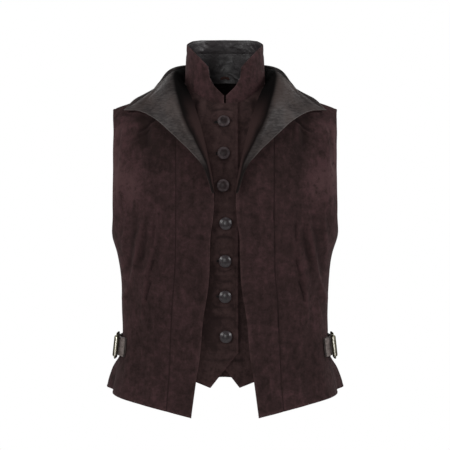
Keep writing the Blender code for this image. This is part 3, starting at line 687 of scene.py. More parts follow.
def spread(start, end, spacing=GRID, corners=()):
    """Places from start to end, close together at both ends, which keep the given corners."""
    length = abs(end - start)
    sign = 1.0 if end > start else -1.0
    near = [d for d in EDGE_STEPS if d < length / 3]
    count = max(int(round((length - 2 * near[-1]) / spacing)), 1)
    middle = np.linspace(near[-1], length - near[-1], count + 1)[1:-1]
    places = list(near) + list(middle) + [length - d for d in near]
    places += [abs(corner - start) for corner in corners]
    places = sorted(places)
    kept = [places[0]]
    for place in places[1:]:
        if place - kept[-1] > CLOSEST:
            kept.append(place)
    kept[-1] = length
    return start + sign * np.array(kept)


def shares_of(length, spacing=GRID):
    """Shares of a length from 0 to 1, close together at both ends."""
    return spread(0, length, spacing) / length


# The body form

def ridge_height(x):
    return RIDGE_TOP - RIDGE_SLOPE * np.hypot(x, RIDGE_ROUND)


def ring_size(height, back):
    height = np.minimum(height, CHEST)
    half_width = np.where(back, table_at(BODY_RINGS, height, 2), table_at(BODY_RINGS, height, 1))
    depth = np.where(back, table_at(BODY_RINGS, height, 4), table_at(BODY_RINGS, height, 3))
    return half_width, depth


def bare_point(angle, level):
    """Points of the form: angle from the front centre, level along the cloth."""
    angle, level = np.broadcast_arrays(np.asarray(angle, float), np.asarray(level, float))
    back = np.cos(angle) < 0
    half_width, depth = ring_size(level, back)
    front_half = table_at(BODY_RINGS, np.minimum(level, CHEST), 1)
    opened = step((np.abs(angle) - math.pi / 2) / BACK_FLARE_TURN)
    half_width = np.where(back, front_half + (half_width - front_half) * opened, half_width)
    across = np.abs(np.sin(angle)) / half_width
    through = np.abs(np.cos(angle)) / depth
    reach = (across ** SQUARENESS + through ** SQUARENESS) ** (-1 / SQUARENESS)
    x = reach * np.sin(angle)
    y = -reach * np.cos(angle)
    rise = np.clip((level - CHEST) / VAULT_SPAN, 0.0, 1.1) * math.pi / 2
    fullness = np.where(back, BACK_FULLNESS, FRONT_FULLNESS)
    lift = np.maximum(np.sin(rise), 0.0) ** (2 / fullness)
    vault = level > CHEST
    z = np.where(vault, CHEST + (ridge_height(x) - CHEST) * lift, level)
    y = np.where(vault, RIDGE_Y + (y - RIDGE_Y) * np.cos(rise), y)
    return np.stack((x, y, z), axis=-1)


def form_normal(angle, level):
    """Outward directions of the form, from points close by on the same half."""
    angle, level = np.broadcast_arrays(np.asarray(angle, float), np.asarray(level, float))
    back = np.cos(angle) < 0
    low = np.abs(angle) - 0.01
    high = np.abs(angle) + 0.01
    low = np.where(back, np.maximum(low, math.pi / 2 + 1e-6), low)
    high = np.where(back, high, np.minimum(high, math.pi / 2 - 1e-6))
    sign = np.where(angle >= 0, 1.0, -1.0)
    top = np.minimum(level + 1.0, SHOULDER)
    across = bare_point(sign * high, level) - bare_point(sign * low, level)
    up = bare_point(angle, top) - bare_point(angle, top - 2.0)
    normal = np.cross(across * sign[..., None], up)
    return normal / np.linalg.norm(normal, axis=-1, keepdims=True)


def skin(angle, level, out=0.0):
    out = np.asarray(out, float)
    return bare_point(angle, level) + form_normal(angle, level) * out[..., None]


def angle_at(x, level, back=False):
    half_width, depth = ring_size(level, back)
    share = np.minimum(np.abs(x) / half_width, 1.0)
    y = depth * (1 - share ** SQUARENESS) ** (1 / SQUARENESS)
    angle = np.arctan2(np.abs(x), y)
    angle = np.where(back, math.pi - angle, angle)
    return np.copysign(angle, x)


def level_at_depth(x, y, back):
    """The level at which the vault reaches the plan position x, y."""
    half_width, depth = ring_size(CHEST, back)
    wall = depth * (1 - (np.abs(x) / half_width) ** SQUARENESS) ** (1 / SQUARENESS)
    wall = np.where(back, wall, -wall)
    share = np.clip((y - RIDGE_Y) / (wall - RIDGE_Y), 0.0, 1.0)
    return CHEST + VAULT_SPAN * np.arccos(share) / (math.pi / 2)


def folds(table, across, along):
    """Height of the folds and creases of a table at each place of the cloth."""
    total = np.zeros(np.broadcast(across, along).shape)
    for x0, level0, x1, level1, bow, half_width, height in table:
        length = math.hypot(x1 - x0, level1 - level0)
        ux = (x1 - x0) / length
        uz = (level1 - level0) / length
        run = (across - x0) * ux + (along - level0) * uz
        share = np.clip(run / length, 0.0, 1.0)
        aside = (across - x0) * uz - (along - level0) * ux + 4 * bow * share * (1 - share)
        fade_in = step((run + half_width) / (2 * half_width))
        fade_out = step((length + half_width - run) / (2 * half_width))
        total += height * fade_in * fade_out * np.exp(-2 * (aside / half_width) ** 2)
    return total


def patches(table, across, along):
    """How far the tone moves at each place of the cloth."""
    total = np.zeros(np.broadcast(across, along).shape)
    for x0, level0, half_wide, half_high, amount in table:
        total += amount * np.exp(-((across - x0) / half_wide) ** 2 - ((along - level0) / half_high) ** 2)
    return total


def unevenness(across, along, seed, height=0.5):
    """The slight waves of soft leather, a sum of long ripples."""
    random = np.random.default_rng(seed)
    total = np.zeros(np.broadcast(across, along).shape)
    for _ in range(RIPPLES):
        turn = random.uniform(0, 2 * math.pi)
        wave = random.uniform(*RIPPLE_WAVES)
        phase = random.uniform(0, 2 * math.pi)
        run = across * math.cos(turn) * RIPPLE_ACROSS + along * math.sin(turn) * RIPPLE_ALONG
        total += np.sin(run * 2 * math.pi / wave + phase) * wave / RIPPLE_WAVES[1]
    return total * height / 2


# Finishes

class Value:
    """A socket of a shader tree. Sums, differences and products of it add Math nodes."""

    def __init__(self, tree, socket):
        self.tree = tree
        self.socket = socket

    def math(self, operation, first, second):
        return self.tree.node("Math", {"operation": operation}, {0: first, 1: second})

    def __add__(self, other):
        return self.math("ADD", self, other)

    def __radd__(self, other):
        return self.math("ADD", other, self)

    def __sub__(self, other):
        return self.math("SUBTRACT", self, other)

    def __rsub__(self, other):
        return self.math("SUBTRACT", other, self)

    def __mul__(self, other):
        return self.math("MULTIPLY", self, other)

    def __rmul__(self, other):
        return self.math("MULTIPLY", other, self)


class Tree:
    """Shader nodes, each made, set and linked in one call."""

    def __init__(self, tree):
        self.nodes = tree.nodes
        self.links = tree.links

    def node(self, kind, settings=None, values=None, output=0):
        made = self.nodes.new("ShaderNode" + kind)
        for key, setting in (settings or {}).items():
            setattr(made, key, setting)
        for key, value in (values or {}).items():
            self.feed(made.inputs[key], value)
        return Value(self, made.outputs[output])

    def feed(self, socket, value):
        if isinstance(value, Value):
            self.links.new(value.socket, socket)
        elif hasattr(value, "__len__") and len(value) == 3 and socket.type == "RGBA":
            socket.default_value = (*value, 1.0)
        else:
            socket.default_value = value

    def soft(self, value, low, high, start=0.0, end=1.0):
        """The value from low to high, turned softly to start to end."""
        values = {"Value": value, "From Min": low, "From Max": high, "To Min": start, "To Max": end}
        return self.node("MapRange", {"interpolation_type": "SMOOTHSTEP"}, values)


class Finish(Tree):
    """A procedural material of this waistcoat."""

    def __init__(self, name, roughness, metallic=0.0, specular=0.5):
        self.material = bpy.data.materials.new(name)
        self.material.use_nodes = True
        super().__init__(self.material.node_tree)
        self.shader = self.nodes["Principled BSDF"]
        self.shader.inputs["Roughness"].default_value = roughness
        self.shader.inputs["Metallic"].default_value = metallic
        self.shader.inputs["Specular IOR Level"].default_value = specular

    def place(self, scale=(1.0, 1.0, 1.0)):
        """Object coordinates, stretched along the axes."""
        spot = self.node("TexCoord", output="Object")
        if scale == (1.0, 1.0, 1.0):
            return spot
        return self.node("Mapping", {}, {"Vector": spot, "Scale": scale})

    def noise(self, spot, scale, detail=3.0, roughness=0.5, distortion=0.0):
        values = {"Vector": spot, "Scale": scale, "Detail": detail, "Roughness": roughness,
                  "Distortion": distortion}
        return self.node("TexNoise", {}, values)

    def height(self, spot):
        return self.node("SeparateXYZ", {}, {0: spot}, 2)

    def mix(self, share, first, second):
        return self.node("Mix", {"data_type": "RGBA"}, {0: share, 6: first, 7: second}, 2)

    def tint(self, colour, towards, value, low, high, most=1.0, times=None):
        """The colour, moved towards another as the value goes from low to high."""
        share = self.soft(value, low, high, 0.0, most)
        if times:
            share = times * share
        return self.mix(share, colour, towards)

    def attribute(self, name):
        return self.node("Attribute", {"attribute_name": name}, {}, 2)

    def set(self, socket, value):
        self.feed(self.shader.inputs[socket], value)

    def nap(self, weight, tint):
        """A soft sheen of raised fibres."""
        self.shader.inputs["Sheen Weight"].default_value = weight
        self.shader.inputs["Sheen Roughness"].default_value = 0.6
        self.shader.inputs["Sheen Tint"].default_value = (*tint, 1.0)

    def bump(self, height, strength, distance):
        values = {"Height": height, "Strength": strength, "Distance": distance}
        self.set("Normal", self.node("Bump", {}, values))

    def shade_cover(self, share, colour):
        """A second, dull finish of one colour, which shows where the share is 1: here painted shade."""
        dull = self.node("BsdfPrincipled", {}, {"Base Color": colour, "Roughness": 0.95,
                                                "Specular IOR Level": 0.08})
        values = {0: share, 1: Value(self, self.shader.outputs[0]), 2: dull}
        both = self.node("MixShader", {}, values)
        self.feed(self.nodes["Material Output"].inputs["Surface"], both)


def suede(name, dark, middle, light, worn_and_lit):
    """Napped suede: cloudy and streaked down the body, paler along its edges from wear and a painted
    highlight, with painted light and shade on its creases, seams and patches.
    """
    finish = Finish(name, 0.92, 0, 0.08)
    finish.nap(0.05, NAP_TINT)
    spot = finish.place()
    clouds = finish.noise(spot, 19, 5, 0.62, 0.6)
    mottle = finish.noise(spot, 85, 4, 0.62, 0.3)
    streaks = finish.noise(finish.place((1, 1, 0.16)), 110, 3, 0.55, 0.4)
    speckle = finish.noise(spot, 260, 3, 0.65)
    nap = finish.noise(spot, 640, 2, 0.6)
    tone = clouds * 0.22 + mottle * 0.40 + streaks * 0.16 + speckle * 0.22
    # Patches move the tone: partly uneven suede, partly painted light and shade
    tone = tone + finish.attribute("patch") * PATCH_TONE_AND_SHADING
    colour = finish.tint(dark, middle, tone, 0.38, 0.51)
    colour = finish.tint(colour, light, tone, 0.48, 0.66)
    uneven = finish.soft(mottle, 0.36, 0.60, 0.35)
    # Strong patches turn towards the pale colour: painted pools of light on the upper chest and by the
    # armholes
    colour = finish.tint(colour, worn_and_lit, finish.attribute("patch"), 0.7, 2, 0.7, uneven)
    # Painted light and shade: crease ridges paler, crease troughs darker
    crease = finish.attribute("crease")
    colour = finish.tint(colour, light, crease, 0, 1.5, 0.55, uneven)
    colour = finish.tint(colour, SUEDE_SHADE, crease, 0, -1.7, 0.75)
    flecks = finish.soft(mottle, 0.41, 0.33) * finish.soft(speckle, 0.62, 0.42)
    colour = finish.mix(flecks * 0.6, colour, dark)
    colour = finish.tint(colour, dark, nap, 0.25, 0.75, 0.25)
    # Paler along the edges: partly wear, partly a painted highlight where the turned edge catches light
    edge = finish.attribute("edge")
    edge_wear_and_highlight = finish.soft(edge, 0.0085, 0.0015, 0, 0.16) + finish.soft(edge, 0.0020, 0.0004, 0, 0.16)
    colour = finish.mix(edge_wear_and_highlight * uneven, colour, worn_and_lit)
    # Painted shade: a dark line in the groove of each seam
    colour = finish.tint(colour, SUEDE_SHADE, finish.attribute("seam"), 0.0020, 0.0005, 0.62, uneven)
    finish.set("Base Color", colour)
    finish.set("Roughness", finish.soft(tone, 0.35, 0.65, 0.97, 0.85))
    creases = finish.noise(finish.place((1, 1, 0.45)), 42, 3, 0.5, 0.8)
    finish.bump(nap * 0.22 + speckle * 0.25 + mottle * 0.6 + streaks * 0.55 + creases * 1.4, 0.6, 0.0018)
    return finish.material


def flesh_side(name):
    """The suede's inner side: brown at the hem, with painted shade that turns it nearly black up in the
    hollow.
    """
    finish = Finish(name, 0.95, 0, 0.06)
    spot = finish.place()
    tone = finish.noise(spot, 120, 4, 0.6, 0.3)
    height = finish.height(spot)
    painted_shade = finish.tint(*FLESH_HOLLOW_SHADE, tone, 0.35, 0.65)
    light = finish.tint(*FLESH_HEM, tone, 0.35, 0.65)
    finish.set("Base Color", finish.tint(painted_shade, light, height, -0.30, -0.46))
    return finish.material


def facing_leather(name):
    """Grey finished leather with fine streaks that run level across the lapels, with painted highlights
    on its crests and edge and painted light and shade in patches and troughs. Painted shade, dull
    brown and black down in the hollow, covers the inside of the collar."""
    finish = Finish(name, 0.6, 0, 0.22)
    spot = finish.place()
    clouds = finish.noise(spot, 30, 4, 0.6, 0.5)
    streaks = finish.noise(finish.place((0.10, 0.3, 1)), 460, 3, 0.6, 0.3)
    grain = finish.noise(spot, 900, 2, 0.6)
    colour = finish.tint(*GREY_LEATHER, clouds * 0.45 + streaks * 0.55, 0.38, 0.62)
    colour = finish.tint(colour, GREY_WARM, finish.noise(spot, 14, 3, 0.5), 0.42, 0.62, 0.6)
    # Painted highlight on the fold crests, painted shade in the troughs
    crease = finish.attribute("crease")
    colour = finish.tint(colour, GREY_CREST_HIGHLIGHT, crease, 0.2, 1.3, 0.6)
    colour = finish.tint(colour, GREY_TROUGH_SHADE, crease, -0.1, -1, 0.75)
    # Patches of painted shade and painted light
    patch = finish.attribute("patch")
    colour = finish.tint(colour, GREY_PAINTED_SHADE, patch, 0, -1, 0.7)
    colour = finish.tint(colour, GREY_PAINTED_LIGHT, patch, 0, 1, 0.5)
    # Painted highlight along the free edge
    colour = finish.tint(colour, GREY_EDGE_HIGHLIGHT, finish.attribute("edge"), 0.0028, 0.0006, 0.55)
    finish.set("Base Color", colour)
    finish.set("Roughness", finish.soft(streaks, 0.35, 0.65, 0.66, 0.50))
    finish.bump(streaks * 0.9 + grain * 0.2 + clouds * 1.2, 0.45, 0.0012)
    # Painted shade over the inside of the collar, blackest in the hollow by the stand
    inside = finish.attribute("inside")
    height = finish.height(spot)
    painted_shade = finish.tint(*COLLAR_INSIDE_SHADE, inside + clouds * 0.4, 1.25, 1.75)
    painted_shade = finish.tint(painted_shade, COLLAR_HOLLOW_SHADE, height, -0.045, 0.020)
    finish.shade_cover(finish.soft(inside, 0, 1), painted_shade)
    return finish.material


def stand_leather(name):
    """The crinkled, slightly shiny leather inside the stand collar."""
    finish = Finish(name, 0.42, 0, 0.45)
    spot = finish.place()
    crinkle = finish.noise(spot, 80, 4, 0.55, 0.6)
    patch = finish.noise(spot, 34, 3, 0.5, 0.5)
    grain = finish.noise(spot, 420, 3, 0.6)
    tone = crinkle * 0.5 + patch * 0.5
    finish.set("Base Color", finish.tint(*CRINKLED_LEATHER, tone, 0.36, 0.64))
    finish.set("Roughness", finish.soft(crinkle, 0.35, 0.65, 0.60, 0.42))
    finish.bump(crinkle * 1.5 + grain * 0.12, 0.6, 0.0014)
    return finish.material


def strap_leather(name):
    """Smooth bridle leather with a soft sheen and a dark cut edge."""
    finish = Finish(name, 0.42, 0, 0.4)
    spot = finish.place()
    tone = finish.noise(finish.place((1, 1, 3)), 60, 4, 0.6, 0.4)
    grain = finish.noise(spot, 1100, 2, 0.6)
    colour = finish.tint(*BRIDLE_LEATHER, tone, 0.32, 0.68)
    colour = finish.tint(colour, BRIDLE_CUT, finish.attribute("edge"), 0.0014, 0.0002, 0.7)
    finish.set("Base Color", colour)
    finish.set("Roughness", finish.soft(tone, 0.3, 0.7, 0.50, 0.36))
    finish.bump(grain * 0.4 + tone, 0.4, 0.0006)
    return finish.material


def buckle_metal(name):
    """Aged pale brass with a dark bloom in places, and a painted highlight where it faces the front."""
    finish = Finish(name, 0.3, 1)
    tarnish = finish.noise(finish.place(), 90, 3, 0.5, 0.3)
    # Painted highlight on the faces that look to the front
    front_glint = finish.soft(finish.attribute("front_glint"), 0.90, 0.98)
    dull = finish.tint(*BRASS_DULL, tarnish, 0.40, 0.65)
    bright = finish.tint(*BRASS_GLINT, tarnish, 0.50, 0.75)
    finish.set("Base Color", finish.mix(front_glint, dull, bright))
    finish.set("Roughness", finish.soft(tarnish, 0.35, 0.7, 0.34, 0.44))
    return finish.material


def button_shell(name, tones, ring, roughness, shine):
    """A smooth dome with a painted highlight: a faint paler ring near its rim."""
    finish = Finish(name, roughness, 0, shine)
    clouds = finish.noise(finish.place(), 260, 3, 0.5, 0.3)
    rim = finish.attribute("rim")
    colour = finish.tint(*tones, clouds, 0.32, 0.70)
    # Painted highlight: the paler ring near the rim
    band = finish.soft(rim, 0.45, 0.82) * finish.soft(rim, 1, 0.90)
    finish.set("Base Color", finish.mix(band * finish.soft(clouds, 0.30, 0.60, 0.35, 0.85), colour, ring))
    finish.bump(clouds, 0.10, 0.0004)
    return finish.material


def two_tone(name, scale, tones):
    """A dull finish of two close colours, for thread, loop and floor."""
    finish = Finish(name, 0.8, 0, 0.2)
    tone = finish.noise(finish.place(), scale, 3, 0.55)
    finish.set("Base Color", finish.tint(*tones, tone, 0.3, 0.7))
    return finish.material


# Cloth shells

def placed(name, data):
    """A new object in the scene that holds the data."""
    made = bpy.data.objects.new(name, data)
    bpy.context.scene.collection.objects.link(made)
    return made


def plain_mesh(guide):
    """The finished mesh of a guide, which is then removed."""
    graph = bpy.context.evaluated_depsgraph_get()
    mesh = bpy.data.meshes.new_from_object(guide.evaluated_get(graph))
    bpy.data.objects.remove(guide)
    mesh.shade_smooth()
    return mesh


def joined_mesh(name, points, faces, material):
    mesh = bpy.data.meshes.new(name)
    mesh.from_pydata((np.asarray(points) * MM).tolist(), [], faces)
    mesh.validate()
    mesh.shade_smooth()
    mesh.materials.append(material)
    return placed(name, mesh)


def grid_faces(high, wide):
    corner = (np.arange(high - 1)[:, None] * wide + np.arange(wide - 1)[None, :]).ravel()
    return np.stack((corner, corner + 1, corner + wide + 1, corner + wide), axis=1)


def points_outward(points, faces):
    """Whether the faces of a grid look away from the middle of the garment."""
    first, second, third = (points[faces[:, n]] for n in range(3))
    normals = np.cross(second - first, third - first)
    return (normals[:, :2] * first[:, :2]).sum() > 0


def lengths_along(points, axis):
    """Distance run from the first row or column, at every point."""
    runs = np.linalg.norm(np.diff(points, axis=axis), axis=2)
    start = np.zeros_like(runs[:1] if axis == 0 else runs[:, :1])
    return np.cumsum(np.concatenate((start, runs), axis=axis), axis=axis)


def distance_to_edges(points, sides=(True, True, True, True)):
    """Distance to the nearest edge among the first and last column, the first and last row."""
    across = lengths_along(points, 1)
    along = lengths_along(points, 0)
    choices = (across, across[:, -1:] - across, along, along[-1:] - along)
    wanted = [choice for choice, side in zip(choices, sides) if side]
    return np.minimum.reduce(wanted)


def store(mesh, name, values):
    held = mesh.attributes.new(name, "FLOAT", "POINT")
    held.data.foreach_set("value", np.asarray(values, np.float32).ravel())


def joined_halves(mesh):
    """Joins the points in which the two halves of a grid touch."""
    work = bmesh.new()
    work.from_mesh(mesh)
    bmesh.ops.remove_doubles(work, verts=work.verts, dist=JOIN_DISTANCE * MM)
    work.to_mesh(mesh)
    work.free()
    mesh.shade_smooth()


def shell(name, points, wall, material, lining=None, halved=False, **marks):
    """A wall of cloth through a grid of points, with softly rounded rims. The marks are values at
    the points: distances to an edge and to a seam, the share of painted shade inside the collar,
    the creases, which also paint light and shade, and the patches of tone and painted shading.
    A halved grid is two grids side by side, which join only where their points touch."""
    high, wide = points.shape[:2]
    flat = points.reshape(-1, 3)
    faces = grid_faces(high, wide)
    if halved:
        faces = faces[faces[:, 0] % wide != wide // 2 - 1]
    if not points_outward(flat, faces):
        faces = faces[:, ::-1]
    made = joined_mesh(name, flat, faces.tolist(), material)
    marks.setdefault("edge", distance_to_edges(points))
    marks.setdefault("seam", np.full(len(flat), FAR))
    for mark in ("inside", "crease", "patch"):
        marks.setdefault(mark, np.zeros(len(flat)))
    for mark, values in marks.items():
        store(made.data, mark, values * (MM if mark in ("edge", "seam") else 1.0))
    if halved:
        joined_halves(made.data)
    thicken = made.modifiers.new("wall", "SOLIDIFY")
    thicken.thickness = wall * MM
    thicken.offset = 0.0
    thicken.use_even_offset = False
    if lining:
        made.data.materials.append(lining)
        thicken.material_offset = 1
    rim = made.modifiers.new("soft rim", "BEVEL")
    rim.width = wall * RIM_SHARE * MM
    rim.segments = 2
    rim.limit_method = "ANGLE"
    rim.angle_limit = RIM_ANGLE
    return made


def cut_of(points, halved):
    """The flat size and area of a piece, measured along its rows and columns."""
    rows = lengths_along(points, 1)[:, -1]
    columns = lengths_along(points, 0)[-1]
    one = points[1:, 1:] - points[:-1, :-1]
    other = points[1:, :-1] - points[:-1, 1:]
    cells = np.linalg.norm(np.cross(one, other), axis=2) / 2
    if halved:
        cells[:, cells.shape[1] // 2] = 0.0
    area = cells.sum()
    return (float(rows.max()) * MM, float(columns.max()) * MM), float(area) * MM * MM


def dress(piece, slot, *nodes):
    """Hangs a finished piece on the root, and hides the solids that it stands for. The slot is not used.
    """
    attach(piece, "root")
    if nodes:
        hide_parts(*nodes)


def sew(name, points, wall, material, slot, node, rests_on=(), halved=False, **extra):
    """A cloth piece in place of its solid, whose flat size and area are measured."""
    piece = shell(name, points, wall, material, halved=halved, **extra)
    dress(piece, slot, node)
    flat, area = cut_of(points, halved)
    return piece


# Outer fronts

def armhole_angle(level, back):
    """The armhole edge: upright at the front and back, round under the arm."""
    distance = BACK_ARMHOLE if back else FRONT_ARMHOLE
    distance = distance + SHOULDER_WING * step((level - WING_START) / (SHOULDER - WING_START))
    upright = angle_at(distance, np.maximum(level, CHEST), back)
    share = np.clip((level - UNDERARM) / ARMHOLE_ROUND, 0.0, 1.0)
    round_part = np.sqrt(1 - (1 - share) ** 2)
    return math.pi / 2 + (upright - math.pi / 2) * round_part


def body_levels(hem):
    """Shares of the rows below the lowest level, and the levels above it."""
    low = (spread(hem, LOWEST_LEVEL) - hem) / (LOWEST_LEVEL - hem)
    return low[:-1], spread(LOWEST_LEVEL, SHOULDER_SEAM)


def panel_grid(inner, outer, hem, columns):
    """Angles and levels between two seam lines, down to a hem given by distance from the centre."""
    low, levels = body_levels(float(np.min(hem[:, 1])))
    rows = np.concatenate((np.full(len(low), LOWEST_LEVEL), levels))
    shares = np.concatenate((low, np.ones(len(levels))))
    inner_angle = inner(rows)[:, None]
    outer_angle = outer(rows)[:, None]
    angle = inner_angle + (outer_angle - inner_angle) * columns[None, :]
    level = np.repeat(rows[:, None], len(columns), axis=1)
    for _ in range(2):
        x = np.abs(bare_point(angle, level)[..., 0])
        foot = table_at(hem, x)
        below = foot + (LOWEST_LEVEL - foot) * shares[:, None]
        level = np.where(shares[:, None] < 1.0, below, rows[:, None])
        near = level[:, :1]
        far = level[:, -1:]
        angle = inner(near) + (outer(far) - inner(near)) * columns[None, :]
    return angle, level


def rolled(distance):
    """Cloth that turns down into a seam."""
    return -SEAM_DROP * np.exp(-distance / SEAM_REACH)


def turned_edge(distance):
    """A turned and stitched edge: slightly thick, with a channel under the stitches."""
    swell = EDGE_SWELL * np.exp(-((distance - EDGE_SWELL_AT) / EDGE_SWELL_WIDTH) ** 2)
    return swell - CHANNEL_DEPTH * np.exp(-((distance - STITCH_INSET) / CHANNEL_WIDTH) ** 2)


def seam_angle(table):
    """The angle of a seam or edge at each level."""
    def line(level):
        return angle_at(table_at(table, level), level)
    return line


def side_edge(level):
    return armhole_angle(level, False)


def outer_front(side, side_name, material):
    """The centre and side panels of one outer front. Returns their lines of stitches."""
    parts = (
        ("centre", seam_angle(FRONT_EDGE), seam_angle(PRINCESS_SEAM), CENTRE_PANEL, SEEDS["centre"]),
        ("side", seam_angle(PRINCESS_SEAM), side_edge, SIDE_PANEL, SEEDS["side"] + side),
    )
    stitch_lines = []
    for part, inner, outer, width, seed in parts:
        angle, level = panel_grid(inner, outer, OUTER_HEM, shares_of(width))
        bare = bare_point(angle, level)
        x = bare[..., 0]
        from_inner = lengths_along(bare, 1)
        from_outer = from_inner[:, -1:] - from_inner
        from_hem = lengths_along(bare, 0)
        crease = folds(FRONT_CREASES, x, level)
        out = folds(MAIN_FOLDS, x, level) + crease + unevenness(x * side, level, seed)
        out = out + turned_edge(from_hem)
        if part == "centre":
            out = out + turned_edge(from_inner) + rolled(from_outer)
            edge = np.minimum(from_inner, from_hem)
            seam = from_outer
        else:
            out = out + rolled(from_inner) + armhole_relief(from_outer, level)
            edge = np.minimum(np.where(side_open(level), from_outer, FAR), from_hem)
            seam = np.minimum(from_inner, np.where(side_open(level), FAR, from_outer))
        points = skin(side * angle, level, out)
        node = f"front_{side_name}_{part}"
        sew(f"suede_{node}", points, SUEDE, material, "suede", node, ("back",), lining=FLESH_SIDE,
            edge=edge, seam=seam, crease=crease / CREASE_FULL, patch=patches(FRONT_TONE_AND_SHADING_PATCHES, x, level))
        stitch_lines += front_stitches(part, points, from_inner, from_outer, from_hem, level)
    return stitch_lines


def side_open(level):
    """Whether the side is an edge here, at the armhole or the vent, and not a seam."""
    return (level > UNDERARM) | (level < VENT_TOP)


def armhole_relief(distance, level):
    """A turned edge along the armhole, and a seam below it."""
    open_part = step((level - UNDERARM) / ARMHOLE_FADE)
    return turned_edge(distance) * open_part + rolled(distance) * (1 - open_part)


def line_at(points, distance, wanted, keep=None):
    """The points where the distance from an edge reaches the wanted value, row by row."""
    line = []
    for row, runs, wanted_here in zip(points, distance, np.broadcast_to(wanted, len(points))):
        order = np.argsort(runs)
        line.append([np.interp(wanted_here, runs[order], row[order, n]) for n in range(3)])
    line = np.array(line)
    return line if keep is None else line[keep]


def front_stitches(part, points, from_inner, from_outer, from_hem, level):
    """Lines of topstitching on one outer panel: along its open edge and its hem."""
    if part == "centre":
        upright = line_at(points, from_inner, STITCH_INSET, from_hem[:, 0] > STITCH_INSET)
    else:
        upright = line_at(points, from_outer, STITCH_INSET, level[:, -1] > STITCHED_FROM)
    return [upright, line_at(points.transpose(1, 0, 2), from_hem.T, STITCH_INSET)]


def stitch_group():
    """Stitches along curves: short rounded threads at an even pitch."""
    group = bpy.data.node_groups.new("stitch run", "GeometryNodeTree")
    face = group.interface
    face.new_socket("Geometry", in_out="INPUT", socket_type="NodeSocketGeometry")
    for label, value in (("Pitch", STITCH_PITCH), ("Length", STITCH_LENGTH), ("Thickness", STITCH_THICK)):
        socket = face.new_socket(label, in_out="INPUT", socket_type="NodeSocketFloat")
        socket.default_value = value * MM
    face.new_socket("Thread", in_out="INPUT", socket_type="NodeSocketMaterial")
    face.new_socket("Geometry", in_out="OUTPUT", socket_type="NodeSocketGeometry")
    made = {name: group.nodes.new(kind) for name, kind in STITCH_NODES.items()}
    made["spots"].mode = "LENGTH"
    for label, value in (("Segments", 6), ("Rings", 5), ("Radius", 0.5)):
        made["stitch"].inputs[label].default_value = value
    for start, output, end, entry in STITCH_LINKS:
        group.links.new(made[start].outputs[output], made[end].inputs[entry])
    return group


def stitches(name, lines, material, slot, pitch=STITCH_PITCH, length=STITCH_LENGTH, thick=STITCH_THICK):
    """Rows of stitches along lines of points, as one plain mesh."""
    points = []
    edges = []
    for line in lines:
        first = len(points)
        points += [tuple(point) for point in np.asarray(line) * MM]
        edges += [(n, n + 1) for n in range(first, len(points) - 1)]
    mesh = bpy.data.meshes.new(f"{name}_path")
    mesh.from_pydata(points, edges, [])
    path = placed(f"{name}_path", mesh)
    run = path.modifiers.new("stitches", "NODES")
    run.node_group = STITCH_RUN
    wanted = {"Pitch": pitch * MM, "Length": length * MM, "Thickness": thick * MM, "Thread": material}
    for item in STITCH_RUN.interface.items_tree:
        if item.item_type == "SOCKET" and item.in_out == "INPUT" and item.name in wanted:
            run[item.identifier] = wanted[item.name]
    dress(placed(name, plain_mesh(path)), slot)


# Back

def neck_plan(turn):
    """Plan position of the neck seam, turn from the front centre in radians."""
    x = NECK_HALF * np.sin(turn)
    reach = np.where(np.cos(turn) > 0, NECK_FRONT, NECK_BACK)
    return x, RIDGE_Y - reach * np.cos(turn)


def neck_place(turn, clearance=0.0):
    """Angle and level of the neck seam, or of a line that far outside it."""
    x, y = neck_plan(turn)
    length = np.hypot(x, y - RIDGE_Y)
    x = x + clearance * x / length
    y = y + clearance * (y - RIDGE_Y) / length
    back = np.cos(turn) < -1e-9
    level = level_at_depth(x, y, back)
    return angle_at(x, CHEST, back), level


def back_half():
    """Angles and levels of one half of the back, from the centre to the side."""
    turns = np.linspace(math.pi, math.pi / 2, NECK_STEPS)
    neck_angle, neck_level = neck_place(turns[:-1])
    neck_angle = np.append(np.abs(neck_angle), math.pi - angle_at(NECK_HALF, CHEST))
    neck_level = np.append(neck_level, SHOULDER)
    neck_angle[0] = math.pi
    low, straight = body_levels(BACK_HEM_CENTRE)
    straight = straight[straight < neck_level[0] - NECK_MARGIN]
    inner_level, outer_level = (np.concatenate((hem + (LOWEST_LEVEL - hem) * low, straight, neck_level))
                                for hem in (BACK_HEM_CENTRE, BACK_HEM_SIDE))
    inner_angle = np.concatenate((np.full(len(low) + len(straight), math.pi), neck_angle))
    outer_angle = armhole_angle(outer_level, True)
    columns = shares_of(BACK_PANEL)[None, :]
    angle = inner_angle[:, None] + (outer_angle - inner_angle)[:, None] * columns
    level = inner_level[:, None] + (outer_level - inner_level)[:, None] * columns
    return angle, np.minimum(level, SHOULDER_SEAM)


def whole(left, right=None):
    """Values of both halves of the back side by side, the same on both unless a right is given."""
    right = left if right is None else right
    return np.concatenate((right[:, ::-1], left), axis=1)


